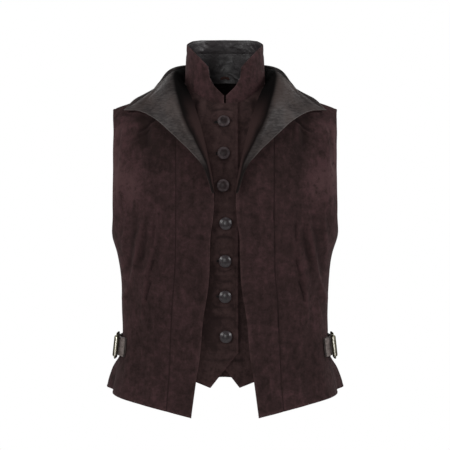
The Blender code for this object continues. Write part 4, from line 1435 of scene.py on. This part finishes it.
def back_panel(material):
    """The back in one piece. Returns its lines of stitches."""
    angle, level = back_half()
    bare = bare_point(angle, level)
    across = lengths_along(bare, 1)
    along = lengths_along(bare, 0)
    from_side = across[:, -1:] - across
    x = np.abs(bare[..., 0])
    crease = folds(BACK_CREASES, x, level)
    halves = []
    for side in (1, -1):
        out = crease + unevenness(bare[..., 0] * side, level, SEEDS["back"], 0.6)
        out = out + turned_edge(along) + armhole_relief(from_side, level)
        halves.append(skin(side * angle, level, out))
    edge = np.minimum(np.where(side_open(level), from_side, FAR), along)
    seam = np.where(side_open(level), FAR, from_side)
    sew("suede_back", whole(*halves), SUEDE, material, "suede", "back", lining=FLESH_SIDE, halved=True,
        edge=whole(edge), seam=whole(seam), crease=whole(crease) / CREASE_FULL,
        patch=whole(patches(BACK_PATCHES, x, level)))
    lines = []
    for half in halves:
        lines.append(line_at(half, from_side, STITCH_INSET, level[:, -1] > STITCHED_FROM))
        lines.append(line_at(half.transpose(1, 0, 2), along.T, STITCH_INSET))
    return lines


# Inner fronts

def inner_depth(x):
    """How far the inner fronts lie inside the form."""
    share = step((np.abs(x) - INNER_FLAT) / (INNER_SEATED - INNER_FLAT))
    return -(INNER_DEPTH_CENTRE + (INNER_DEPTH_SIDE - INNER_DEPTH_CENTRE) * share)


def inner_top(x):
    """The level of the inner fronts' upper edge, at the neck and the shoulder."""
    turn = np.arcsin(np.minimum(np.abs(x) / NECK_HALF, 1.0))
    return np.where(np.abs(x) >= NECK_HALF, SHOULDER, neck_place(turn)[1])


def inner_front(side, side_name, ply, material):
    """One inner front, with x positive towards the lap edge. Returns its lines of stitches."""
    stations = spread(LAP_EDGE, INNER_SIDE, LAP_GRID, INNER_HEM[1:-1, 0])
    hem = table_line(INNER_HEM, stations)
    top = np.minimum(inner_top(stations), SHOULDER_SEAM)
    low = shares_of(INNER_BELOW_CHEST, INNER_GRID)[:, None]
    high = shares_of(INNER_ABOVE_CHEST, INNER_GRID)[1:, None]
    level = np.concatenate((hem + (CHEST - hem) * low, CHEST + (top - CHEST) * high))
    x = np.broadcast_to(stations, level.shape)
    seated = 1 - step((np.abs(x) - LAP_FLAT) / (LAP_SEATED - LAP_FLAT))
    extra = np.where(x < 0, ply * seated, ply)
    angle = angle_at(-side * x, level)
    bare = bare_point(angle, level)
    across = lengths_along(bare, 1)
    along = lengths_along(bare, 0)
    crease = folds(INNER_CREASES, x, level) + puckers(x, level)
    relief = crease + unevenness(x, level, SEEDS["inner"], 0.35)
    relief = relief + turned_edge(across) + turned_edge(along)
    if ply:
        relief = np.clip(relief, *LOWER_RELIEF)
    relief = relief * (1 - step((-x - INNER_PLAIN_FROM) / INNER_PLAIN_FADE))
    points = skin(angle, level, inner_depth(x) - extra + relief)
    edge = np.minimum(across, along)
    node = f"inner_front_{side_name}"
    sew(f"suede_{node}", points, SUEDE, material, "inner_suede", node, ("back",), lining=FLESH_SIDE,
        edge=edge, crease=crease / INNER_CREASE_FULL, patch=patches(INNER_TONE_AND_SHADING_PATCHES, x, level))
    upright = line_at(points, across, STITCH_INSET, along[:, 0] > STITCH_INSET)
    return [upright, line_at(points.transpose(1, 0, 2), along.T, STITCH_INSET)]


def puckers(x, level):
    """The cloth drawn in a little round each button."""
    total = np.zeros(level.shape)
    for button_x, height in zip(BUTTON_X, BUTTON_HEIGHTS):
        seat = button_level(button_x, height)
        away = np.hypot((x - button_x) * PUCKER_SQUEEZE, level - seat)
        ring = PUCKER_RISE * np.exp(-((away - PUCKER_RING) / PUCKER_WIDTH) ** 2)
        total += ring - PUCKER_DIP * np.exp(-(away / PUCKER_DIP_WIDTH) ** 2)
    return total


# Stand collar

def folded(turn):
    """The same turn from the front centre on the other side of the collar."""
    return np.where(turn <= math.pi, turn, 2 * math.pi - turn)


def stand_foot(turn):
    """The seam line under the stand collar, on the neck edge."""
    near = folded(turn)
    angle, level = neck_place(near)
    x = NECK_HALF * np.sin(near)
    to_outside = step((np.degrees(near) - STAND_INSIDE_END) / (90.0 - STAND_INSIDE_END))
    ply = np.where(turn > math.pi, 0.0, STAND_PLY)
    ply = ply * step((np.degrees(near) - STAND_PLY_START) / STAND_PLY_FADE)
    point = skin(angle, np.minimum(level, SHOULDER), (inner_depth(x) - ply) * (1 - to_outside))
    point[..., 0] *= np.where(turn > math.pi, -1.0, 1.0)
    point[..., 2] += STAND_LIFT
    return point


def stand_head(turn):
    """The line above the seam, at the height of the tallest part."""
    foot = stand_foot(turn)
    scale = STAND_TOP_HALF / NECK_HALF
    x = foot[..., 0] * scale
    y = RIDGE_Y + (foot[..., 1] - RIDGE_Y) * scale + STAND_LEAN
    return np.stack((x, y, np.full(x.shape, STAND_TOP_REFERENCE)), axis=-1)


def stand_point(turn, height, inside=0.0):
    """Points of the stand between its foot and its head, moved in towards the neck."""
    turn, height, inside = np.broadcast_arrays(turn, height, inside)
    foot = stand_foot(turn)
    head = stand_head(turn)
    share = (height - foot[..., 2]) / (head[..., 2] - foot[..., 2])
    point = foot + (head - foot) * share[..., None]
    point[..., 2] = height
    reach = np.where(np.cos(turn) > 0, NECK_FRONT, NECK_BACK)
    plan = np.stack((point[..., 0] / NECK_HALF ** 2, (point[..., 1] - RIDGE_Y) / reach ** 2), axis=-1)
    plan /= np.linalg.norm(plan, axis=-1, keepdims=True)
    point[..., :2] -= plan * inside[..., None]
    return point


def stand_edge(turn):
    """The height of the stand's cut top edge."""
    return table_line(STAND_EDGE, np.degrees(folded(turn)))


def stand_turns(start):
    """Turns round the collar from one side of the slit to the other, with the edge's corners."""
    even = np.arange(start, 180.0, STAND_TURN_STEP)
    half = sorted(set(even) | set(row for row in STAND_EDGE[:, 0] if row > start) | {180.0})
    kept = [half[0]]
    for turn in half[1:]:
        if turn - kept[-1] > CLOSEST_TURN:
            kept.append(turn)
    both = kept + [360.0 - turn for turn in reversed(kept[:-1])]
    return np.radians(np.array(both))


def stand_collar(material):
    """The stand collar's suede. Returns its lines of stitches."""
    turns = stand_turns(STAND_SLIT)
    foot = stand_foot(turns)[:, 2]
    top = stand_edge(turns)
    height = foot + (top - foot) * shares_of(STAND_WALL, STAND_GRID)[:, None]
    turn = np.broadcast_to(turns, height.shape)
    degrees = np.degrees(folded(turn)) * STAND_SCALE
    relief = folds(STAND_CREASES, degrees, height)
    relief = relief * step((top - height) / STAND_FADE) * step((height - foot) / STAND_FADE)
    relief = relief + unevenness(degrees, height, SEEDS["stand"], 0.2)
    points = stand_point(turn, height, -relief)
    edge = distance_to_edges(points, (True, True, False, True))
    sew("suede_stand_collar", points, SUEDE, material, "suede", "stand_collar", ("back",),
        lining=FLESH_SIDE, edge=edge, patch=np.full(height.shape, STAND_LIGHT_LIFT))
    from_foot = lengths_along(points, 0)
    from_top = from_foot[-1:] - from_foot
    upper = line_at(points.transpose(1, 0, 2), from_top.T, STAND_STITCH_INSET)
    front = line_at(points, lengths_along(points, 1), STAND_STITCH_INSET)
    return [upper[2:-2], front[2:12]]


def band_depth(turn):
    """The depth of the top band, which narrows towards the front."""
    degrees = np.degrees(folded(turn))
    depth = BAND_DEPTH * step((degrees - BAND_NARROW) / (BAND_FULL - BAND_NARROW))
    return np.where(degrees < BAND_START - BAND_LEAD, 0.0, depth)


def crinkles(turn, height, seed, size):
    """Small soft wrinkles of the leather inside the stand collar."""
    random = np.random.default_rng(seed)
    across = np.degrees(turn) * STAND_SCALE
    total = np.zeros(height.shape)
    for _ in range(WRINKLES):
        x0, z0, lean, long, wide = (random.uniform(*limits) for limits in WRINKLE_RANGES)
        run = (across - x0) + (height - z0) * lean
        aside = (height - z0) - (across - x0) * lean
        total += random.choice((-1.0, 1.0)) * size * np.exp(-(run / long) ** 2 - (aside / wide) ** 2)
    return total


def line_stand(name, node, turn, height, relief, material):
    """A leather sheet inside the stand collar, with its relief kept off the suede."""
    inside = SOLID_SUEDE / 2 + SOLID_GAP + SOLID_FACING / 2
    points = stand_point(turn, height, inside + np.maximum(relief, LEAST_RELIEF) + FACING_CLEARANCE)
    sew(name, points, FACING, material, "facing_leather", node, ("stand_collar",))


def stand_facing(material):
    """The leather inside the stand collar, up to the band."""
    turns = stand_turns(STAND_SLIT + 1)
    band = band_depth(turns)
    rise = step((np.degrees(folded(turns)) - FACING_FOOT_START) / (FACING_FOOT_FULL - FACING_FOOT_START))
    foot = stand_foot(turns)[:, 2] + FACING_FOOT * rise
    top = stand_edge(turns) - FACING_DROP - band - np.where(band > 0, BAND_GAP, 0.0)
    height = foot + (top - foot) * shares_of(FACING_WALL)[:, None]
    turn = np.broadcast_to(turns, height.shape)
    near_edge = np.minimum(step((top - height) / FACING_FADE), step((height - foot) / FACING_FADE))
    relief = crinkles(turn, height, SEEDS["facing"], FACING_WRINKLE) * near_edge
    line_stand("leather_stand_facing", "stand_facing", turn, height, relief, material)


def stand_band(material):
    """The band of leather along the top of the facing."""
    start = math.radians(BAND_START)
    end = 2 * math.pi - start
    turns = stand_turns(STAND_SLIT + 1)
    turns = turns[(turns > start) & (turns < end)]
    turns = np.concatenate(([start + BAND_INSET], turns, [end - BAND_INSET]))
    top = stand_edge(turns) - FACING_DROP
    band = band_depth(turns)
    height = top - band * (1 - shares_of(BAND_DEPTH, BAND_GRID)[:, None])
    turn = np.broadcast_to(turns, height.shape)
    near_edge = step((top - height) / BAND_FADE) * step((height - top + band) / BAND_FADE)
    relief = (crinkles(turn, height, SEEDS["band"], BAND_WRINKLE) + BAND_PADDING) * near_edge
    line_stand("leather_stand_band", "stand_facing_band", turn, height, relief, material)


def hang_loop(material):
    """The loop of leather that arches out of the facing at the centre back."""
    inside = SOLID_SUEDE / 2 + SOLID_GAP + SOLID_FACING + SOLID_GAP + LOOP_WALL / 2
    x = np.linspace(-LOOP_HALF, LOOP_HALF, LOOP_COLUMNS)
    turn = math.pi - np.arcsin(x / NECK_HALF)
    bulge = LOOP_BULGE * np.cos(math.pi / 2 * x / LOOP_HALF)
    rise = LOOP_ARCH * ((x / LOOP_HALF) ** 2 - 0.5)
    height = np.linspace(LOOP_FOOT, LOOP_TOP, LOOP_ROWS)[:, None] - rise
    roll = LOOP_ROLL * (1 - np.linspace(-1, 1, LOOP_ROWS)[:, None] ** 2)
    points = stand_point(turn, height, inside + bulge + roll)
    loop = shell("leather_hang_loop", points, LOOP_WALL, material)
    dress(loop, "strap_leather", "hang_loop")


# Spread collar

def collar_seam(seam):
    """The line where the spread collar is sewn: up the open neck edge, then round the back."""
    level = BREAK_POINT + (SHOULDER - BREAK_POINT) * np.minimum(seam, 1.0)
    front = skin(angle_at(table_at(FRONT_EDGE, level), level), level, COLLAR_SEAM_OUT)
    turn = math.pi / 2 * np.maximum(seam, 1.0)
    angle, level = neck_place(turn, COLLAR_NECK_CLEARANCE)
    behind = skin(angle, level, COLLAR_SEAM_OUT)
    return np.where((seam <= 1.0)[:, None], front, behind)


def collar_half():
    """Grid of one side of the collar, from the break point to the centre back."""
    knots = np.arange(len(COLLAR_ROWS), dtype=float)
    rows = np.linspace(0.0, knots[-1], int(knots[-1]) * COLLAR_ROW_STEPS + 1)
    seam = collar_seam(spline(knots, COLLAR_ROWS[:, 0], rows))
    crest = np.stack([spline(knots, COLLAR_ROWS[:, n], rows) for n in (1, 2, 3)], axis=-1)
    sag = spline(knots, COLLAR_ROWS[:, 7], rows)
    before = [spline(knots[:COLLAR_TIP + 1], COLLAR_ROWS[:COLLAR_TIP + 1, n], rows) for n in (4, 5, 6)]
    after = [spline(knots[COLLAR_TIP:], COLLAR_ROWS[COLLAR_TIP:, n], rows) for n in (4, 5, 6)]
    lapel = (rows <= COLLAR_TIP)[:, None]
    edge = np.where(lapel, np.stack(before, axis=-1), np.stack(after, axis=-1))
    middle = (crest + edge) / 2
    middle[:, 2] -= sag
    shares = shares_of(COLLAR_FALL)
    grid = []
    crests = []
    for points in zip(seam, crest, middle, edge):
        points = np.array(points)
        runs = np.linalg.norm(np.diff(points, axis=0), axis=1) + COLLAR_KNOT_GAP
        along = np.concatenate(([0.0], np.cumsum(runs)))
        at = shares * along[-1]
        grid.append(np.stack([spline(along, points[:, n], at) for n in range(3)], axis=-1))
        crests.append(along[1] / along[-1])
    grid = np.array(grid)
    grid[-1, :, 0] = 0.0
    return grid, np.array(crests), shares


def grid_normals(points):
    """Outward directions of the collar's grid."""
    along = np.gradient(points, axis=0)
    across = np.gradient(points, axis=1)
    normal = np.cross(across, along)
    return normal / np.linalg.norm(normal, axis=-1, keepdims=True)


def mirrored(half):
    """Points of both sides of the collar, which share the centre back."""
    flip = np.array((-1.0, 1.0, 1.0))
    return np.concatenate((half, (half * flip)[-2::-1]))


def both_sides(values):
    """The same values on both sides of the collar."""
    return np.concatenate((values, values[-2::-1]))

def spread_collar(suede_finish, facing_finish):
    """The collar's suede and the leather facing on it. Returns the facing's line of stitches."""
    half, crests, shares = collar_half()
    rows = np.linspace(0, len(COLLAR_ROWS) - 1, len(half))[:, None]
    crests = crests[:, None]
    shares = shares[None, :]
    across = rows * SECTION_SCALE
    along = shares * SHARE_SCALE
    crease = folds(COLLAR_FOLDS, across, along)
    soft = crease + unevenness(across, along, SEEDS["collar"], 0.4)
    relief = both_sides(soft * step(shares / COLLAR_RELIEF_SHARE))
    points = mirrored(half)
    points = points + grid_normals(points) * relief[..., None]
    edge = distance_to_edges(points, (False, True, True, True))
    piece = sew("suede_collar", points, SUEDE, suede_finish, "suede", "collar", ("back",), edge=edge)
    upper = points + grid_normals(points) * (COLLAR_FACING_OUT + COLLAR_CLEARANCE)
    # Painted shade inside the collar, and brown painted shade at its lower end
    limits = np.maximum(crests, SHADE_SHARE + (rows - SHADE_SECTION) * SHADE_RISE)
    inside = 1 - step((shares - limits + SHADE_BEFORE) / SHADE_SOFTNESS)
    inside = np.maximum(inside, BROWN_SHADE_END * (1 - step((rows - BROWN_SHADE_FROM) / BROWN_SHADE_SPAN)))
    inside = both_sides(inside + np.clip(1 - shares / crests, 0, 1))
    sew("leather_collar_facing", upper, FACING, facing_finish, "facing_leather", "collar_facing",
        (piece,), edge=edge, inside=inside, crease=both_sides(crease) / CREASE_FULL,
        patch=both_sides(patches(COLLAR_SHADING_PATCHES, across, along)))
    from_seam = lengths_along(upper, 1)
    return [line_at(upper, from_seam[:, -1:] - from_seam, COLLAR_STITCH_INSET)]


# Buttons and buttonholes

def button_level(x, height):
    """The level along the cloth of a place on the inner front at this height."""
    rise = np.arcsin(np.clip((height - CHEST) / (ridge_height(x) - CHEST), -1.0, 1.0))
    return np.where(height > CHEST, CHEST + VAULT_SPAN * rise / (math.pi / 2), height)


def inner_face(x, height):
    """A seat on the top inner front: its place, with Z pointing out of the cloth."""
    level = button_level(x, height)
    angle = angle_at(x, level)
    normal = Vector(form_normal(angle, level))
    point = Vector(skin(angle, level, inner_depth(x) + SOLID_SUEDE / 2 + BUTTON_SEAT))
    turn = normal.to_track_quat("Z", "Y").to_matrix().to_4x4()
    return Matrix.Translation(point * MM) @ turn


def turned(name, profile, steps, material, place):
    """A turned piece: the profile runs from the top of its axis to the foot of it."""
    angles = np.linspace(0.0, 2 * math.pi, steps, endpoint=False)
    points = [(0.0, 0.0, profile[0][1])]
    for radius, rise in profile[1:-1]:
        points += [(radius * math.cos(a), radius * math.sin(a), rise) for a in angles]
    points.append((0.0, 0.0, profile[-1][1]))
    last = len(points) - 1
    faces = []
    for n in range(steps):
        after = (n + 1) % steps
        faces.append((0, 1 + n, 1 + after))
        for ring in range(len(profile) - 3):
            foot = 1 + ring * steps
            faces.append((foot + n, foot + steps + n, foot + steps + after, foot + after))
        foot = 1 + (len(profile) - 3) * steps
        faces.append((foot + n, last, foot + after))
    made = joined_mesh(name, points, faces, material)
    radii = np.hypot(*np.array(points).T[:2])
    store(made.data, "rim", radii / radii.max())
    made.data.transform(place)
    return made


def buttons(upper, lower, hole_thread, slit_finish):
    """Seven buttons with their buttonholes, whose stitches are one piece."""
    ovals = []
    for number, (x, height) in enumerate(zip(BUTTON_X, BUTTON_HEIGHTS)):
        seat = inner_face(x, height)
        finish = upper if number < HORN_BUTTONS else lower
        button = turned(f"button_dome_{number + 1}", BUTTON_PROFILE, BUTTON_STEPS, finish, seat)
        dress(button, "button", f"button_{number + 1}")
        ovals.append(buttonhole(x, height, number, slit_finish))
    stitches("buttonhole_thread", ovals, hole_thread, "inner_suede", *HOLE_STITCH)

def buttonhole(x, height, number, material):
    """The buttonhole that shows beside a button: a dark slit and the oval path of its thread."""
    centre = x - (HOLE_REACH + HOLE_START) / 2
    half = (HOLE_REACH - HOLE_START) / 2
    turns = np.linspace(0, 2 * math.pi, HOLE_STEPS)
    oval_x = centre + half * np.cos(turns)
    oval_level = button_level(x, height) + HOLE_HALF * np.sin(turns)
    on_cloth = skin(angle_at(oval_x, oval_level), oval_level, inner_depth(oval_x) + HOLE_OUT)
    middle = on_cloth.mean(axis=0)
    slit = np.concatenate((middle + (on_cloth[:-1] - middle) * HOLE_SLIT, middle[None, :]))
    slit_back = slit + np.array((0, HOLE_DEPTH, 0))
    count = len(slit)
    faces = []
    for n in range(count - 1):
        after = (n + 1) % (count - 1)
        faces.append((n, after, count - 1))
        faces.append((count + after, count + n, 2 * count - 1))
        faces.append((n, count + n, count + after, after))
    piece = joined_mesh(f"buttonhole_{number + 1}", np.concatenate((slit, slit_back)), faces, material)
    dress(piece, "inner_suede")
    return on_cloth


# Side straps and buckles

def arc(centre, start, end):
    """Points of a leather's turn round a bar, from one angle to another in degrees."""
    turns = np.radians(np.linspace(start, end, LOOP_TURN_STEPS))
    return list(zip(centre[0] + LOOP_TURN * np.cos(turns), centre[1] + LOOP_TURN * np.sin(turns)))


def side_point(side, along, height, out):
    """Points round the side of the waistcoat: along is ahead of the buckle."""
    centre = math.radians(BUCKLE_TURN)
    along, height, out = np.broadcast_arrays(along, height, out)
    radius = np.linalg.norm(bare_point(centre, height)[..., :2], axis=-1)
    return skin(side * (centre - along / radius), height, out)


def smooth_path(path, spacing):
    """The same path with more points, along and out."""
    path = np.array(path)
    runs = np.concatenate(([0.0], np.cumsum(np.linalg.norm(np.diff(path, axis=0), axis=1))))
    at = np.linspace(0.0, runs[-1], int(runs[-1] / spacing) + 1)
    return spline(runs, path[:, 0], at), spline(runs, path[:, 1], at)


def side_fastening(side, side_name, leather, metal):
    """The buckle of one side with its tab and strap. Returns the strap's lines of stitches."""
    tab = list(TAB_LEAD) + arc(CENTRE_BAR, -135.0, -330.0) + list(TAB_RETURN)
    strap = list(STRAP_LEAD) + arc(BACK_BAR, -90.0, 120.0) + list(STRAP_RETURN)
    heights = spread(STRAP_FOOT, STRAP_TOP)[:, None]
    for label, path in (("buckle_tab", tab), ("side_strap", strap)):
        along, out = smooth_path(path, STRAP_GRID)
        points = side_point(side, along[None, :], heights, out[None, :])
        edge = distance_to_edges(points)
        node = f"{label}_{side_name}"
        piece = shell(f"leather_{node}", points, STRAP_LEATHER - STRAP_SHRINK, leather, edge=edge)
        dress(piece, "strap_leather", node)
    buckle(side, side_name, metal)
    along = np.array(STRAP_STITCH_ALONG)
    return [side_point(side, along, height, STRAP_STITCH_OUT)
            for height in (STRAP_FOOT + STRAP_STITCH_INSET, STRAP_TOP - STRAP_STITCH_INSET)]


def rounded_outline(half_long, half_high, radius, steps=6):
    """A rectangle round the origin with rounded corners."""
    points = []
    for sx, sy, start in ((1, 1, 0), (-1, 1, 90), (-1, -1, 180), (1, -1, 270)):
        for n in range(steps + 1):
            turn = math.radians(start + 90 * n / steps)
            across = sx * (half_long - radius) + radius * math.cos(turn)
            up = sy * (half_high - radius) + radius * math.sin(turn)
            points.append((across, up))
    return points


def wire_run(data, points, radii, closed):
    """A run of the buckle's wire through flat points, each with its own radius."""
    run = data.splines.new("POLY")
    run.points.add(len(points) - 1)
    for point, (across, up), radius in zip(run.points, points, radii):
        point.co = (across * MM, up * MM, 0.0, 1.0)
        point.radius = radius
    run.use_cyclic_u = closed

def buckle_wire(side, side_name):
    """The buckle's frame, centre bar and roller as flat runs of wire."""
    data = bpy.data.curves.new(f"buckle_{side_name}_wire", "CURVE")
    data.dimensions = "3D"
    data.bevel_depth = MM
    data.bevel_resolution = 6
    data.use_fill_caps = True
    high = BUCKLE_HEIGHT / 2 - BUCKLE_WIRE
    rear = BUCKLE_LENGTH / 2 - BUCKLE_WIRE
    middle = (ROLLER_ALONG - rear) / 2
    ring = rounded_outline((rear + ROLLER_ALONG) / 2, high, BUCKLE_CORNER - BUCKLE_WIRE)
    ring = [(-side * (middle + along), up) for along, up in ring]
    wire_run(data, ring, [BUCKLE_WIRE] * len(ring), True)
    wire_run(data, [(0, -high), (0, high)], [CENTRE_WIRE] * 2, False)
    roller = list(ROLLER_ENDS) + [(-up, radius) for up, radius in reversed(ROLLER_ENDS[:-1])]
    spine = [(-side * ROLLER_ALONG, up) for up, radius in roller]
    wire_run(data, spine, [radius for up, radius in roller], False)
    return data


def buckle_place(side):
    """Where the flat buckle goes: upright on the side, tilted off it."""
    height = (STRAP_TOP + STRAP_FOOT) / 2
    centre, upper, lower = (Vector(side_point(side, 0, level, BUCKLE_OUT))
                            for level in (height, STRAP_TOP, STRAP_FOOT))
    up = (upper - lower).normalized()
    normal = Vector(form_normal(side * math.radians(BUCKLE_TURN), height))
    normal = (normal - up * normal.dot(up)).normalized()
    normal.rotate(Quaternion(up, side * BUCKLE_TILT))
    turn = Matrix((up.cross(normal), up, normal)).transposed().to_4x4()
    return Matrix.Translation(centre * MM) @ turn


def buckle(side, side_name, metal):
    """A wire frame with a centre bar and a roller on its front bar."""
    mesh = plain_mesh(placed(f"buckle_{side_name}_wire", buckle_wire(side, side_name)))
    mesh.materials.clear()
    mesh.materials.append(metal)
    mesh.transform(buckle_place(side))
    # Painted highlight: how far each point faces the front
    store(mesh, "front_glint", [-corner.vector.y for corner in mesh.vertex_normals])
    dress(placed(f"brass_buckle_{side_name}", mesh), "buckle_metal", f"buckle_{side_name}")


# Camera, light and floor

def place_camera():
    """A long lens in front of the chest, looking slightly down."""
    turn = math.radians(CAMERA_ELEVATION)
    aim = Vector((0, 0, AIM_HEIGHT))
    eye = aim + Vector((0, -math.cos(turn), math.sin(turn))) * CAMERA_DISTANCE
    data = bpy.data.cameras.new("camera")
    data.sensor_width = SENSOR
    data.lens = SENSOR * CAMERA_DISTANCE / FRAME_WIDTH
    camera = placed("camera", data)
    camera.location = eye
    camera.rotation_euler = (aim - eye).to_track_quat("-Z", "Y").to_euler()
    bpy.context.scene.camera = camera


def softbox(name, place, size, power, aim):
    data = bpy.data.lights.new(name, "AREA")
    data.shape = "RECTANGLE"
    data.size, data.size_y = size
    data.energy = power
    lamp = placed(name, data)
    lamp.location = place
    lamp.rotation_euler = (Vector(aim) - Vector(place)).to_track_quat("-Z", "Y").to_euler()


def white_room():
    """A white backdrop, which lights the scene a little more from behind."""
    world = bpy.data.worlds.new("white studio")
    world.use_nodes = True
    tree = Tree(world.node_tree)
    toward = tree.node("TexCoord", output="Generated")
    depth = tree.node("SeparateXYZ", {}, {0: toward}, 1)
    strength = tree.soft(depth, FRONT_LIGHT_START, BACK_LIGHT_START, FRONT_LIGHT, BACK_LIGHT)
    room = tree.node("Background", {}, {"Color": WHITE, "Strength": strength})
    white = tree.node("Background", {}, {"Color": WHITE, "Strength": 1})
    seen = tree.node("LightPath", output="Is Camera Ray")
    both = tree.node("MixShader", {}, {0: seen, 1: room, 2: white})
    tree.feed(tree.nodes["World Output"].inputs["Surface"], both)
    bpy.context.scene.world = world
    bpy.context.scene.view_settings.view_transform = "Standard"


def studio():
    """The room, its softboxes and the floor."""
    white_room()
    for lamp in LAMPS:
        softbox(*lamp)
    mesh = bpy.data.meshes.new("floor")
    corners = [(x * FLOOR_HALF, y * FLOOR_HALF, FLOOR_HEIGHT) for x, y in FLOOR_CORNERS]
    mesh.from_pydata(corners, [], [(0, 1, 2, 3)])
    mesh.materials.append(two_tone("floor_plaster", 3, PLASTER))
    placed("floor", mesh)


place_camera()
studio()

STITCH_RUN = stitch_group()
FLESH_SIDE = flesh_side("flesh_side")
outer_suede = suede("outer_suede", SUEDE_DARK, SUEDE_MIDDLE, SUEDE_LIGHT, SUEDE_WORN_AND_LIT)
inner_suede = suede("inner_front_suede", INNER_DARK, INNER_MIDDLE, INNER_LIGHT, SUEDE_LIGHT)
collar_leather = facing_leather("collar_facing_leather")
collar_lining = stand_leather("stand_facing_leather")
bridle = strap_leather("strap_bridle_leather")
brass = buckle_metal("aged_brass")
pewter = button_shell("dark_pewter", PEWTER, PEWTER_RING_HIGHLIGHT, 0.36, 0.50)
horn = button_shell("brown_horn", HORN, HORN_RING_HIGHLIGHT, 0.42, 0.14)
brown_thread = two_tone("brown_thread", 700, BROWN_THREAD)
hole_dark = two_tone("buttonhole_shadow", 700, HOLE_SHADOW)
loop_leather = two_tone("loop_leather", 380, LOOP_LEATHER)

outer_lines = []
for body_side, body_side_name in ((-1, "right"), (1, "left")):
    outer_lines += outer_front(body_side, body_side_name, outer_suede)
    strap_lines = side_fastening(body_side, body_side_name, bridle, brass)
    stitches(f"strap_stitches_{body_side_name}", strap_lines, brown_thread, "strap_leather")
stitches("front_stitches", outer_lines, brown_thread, "suede")
stitches("back_stitches", back_panel(outer_suede), brown_thread, "suede")
inner_lines = inner_front(-1, "right", 0, inner_suede)
stitches("inner_front_stitches", inner_lines, brown_thread, "inner_suede")
inner_front(1, "left", INNER_PLY, inner_suede)
stitches("stand_stitches", stand_collar(outer_suede), brown_thread, "suede")
stand_facing(collar_lining)
stand_band(collar_lining)
hang_loop(loop_leather)
stitches("collar_stitches", spread_collar(outer_suede, collar_leather), brown_thread, "suede")
buttons(horn, pewter, brown_thread, hole_dark)
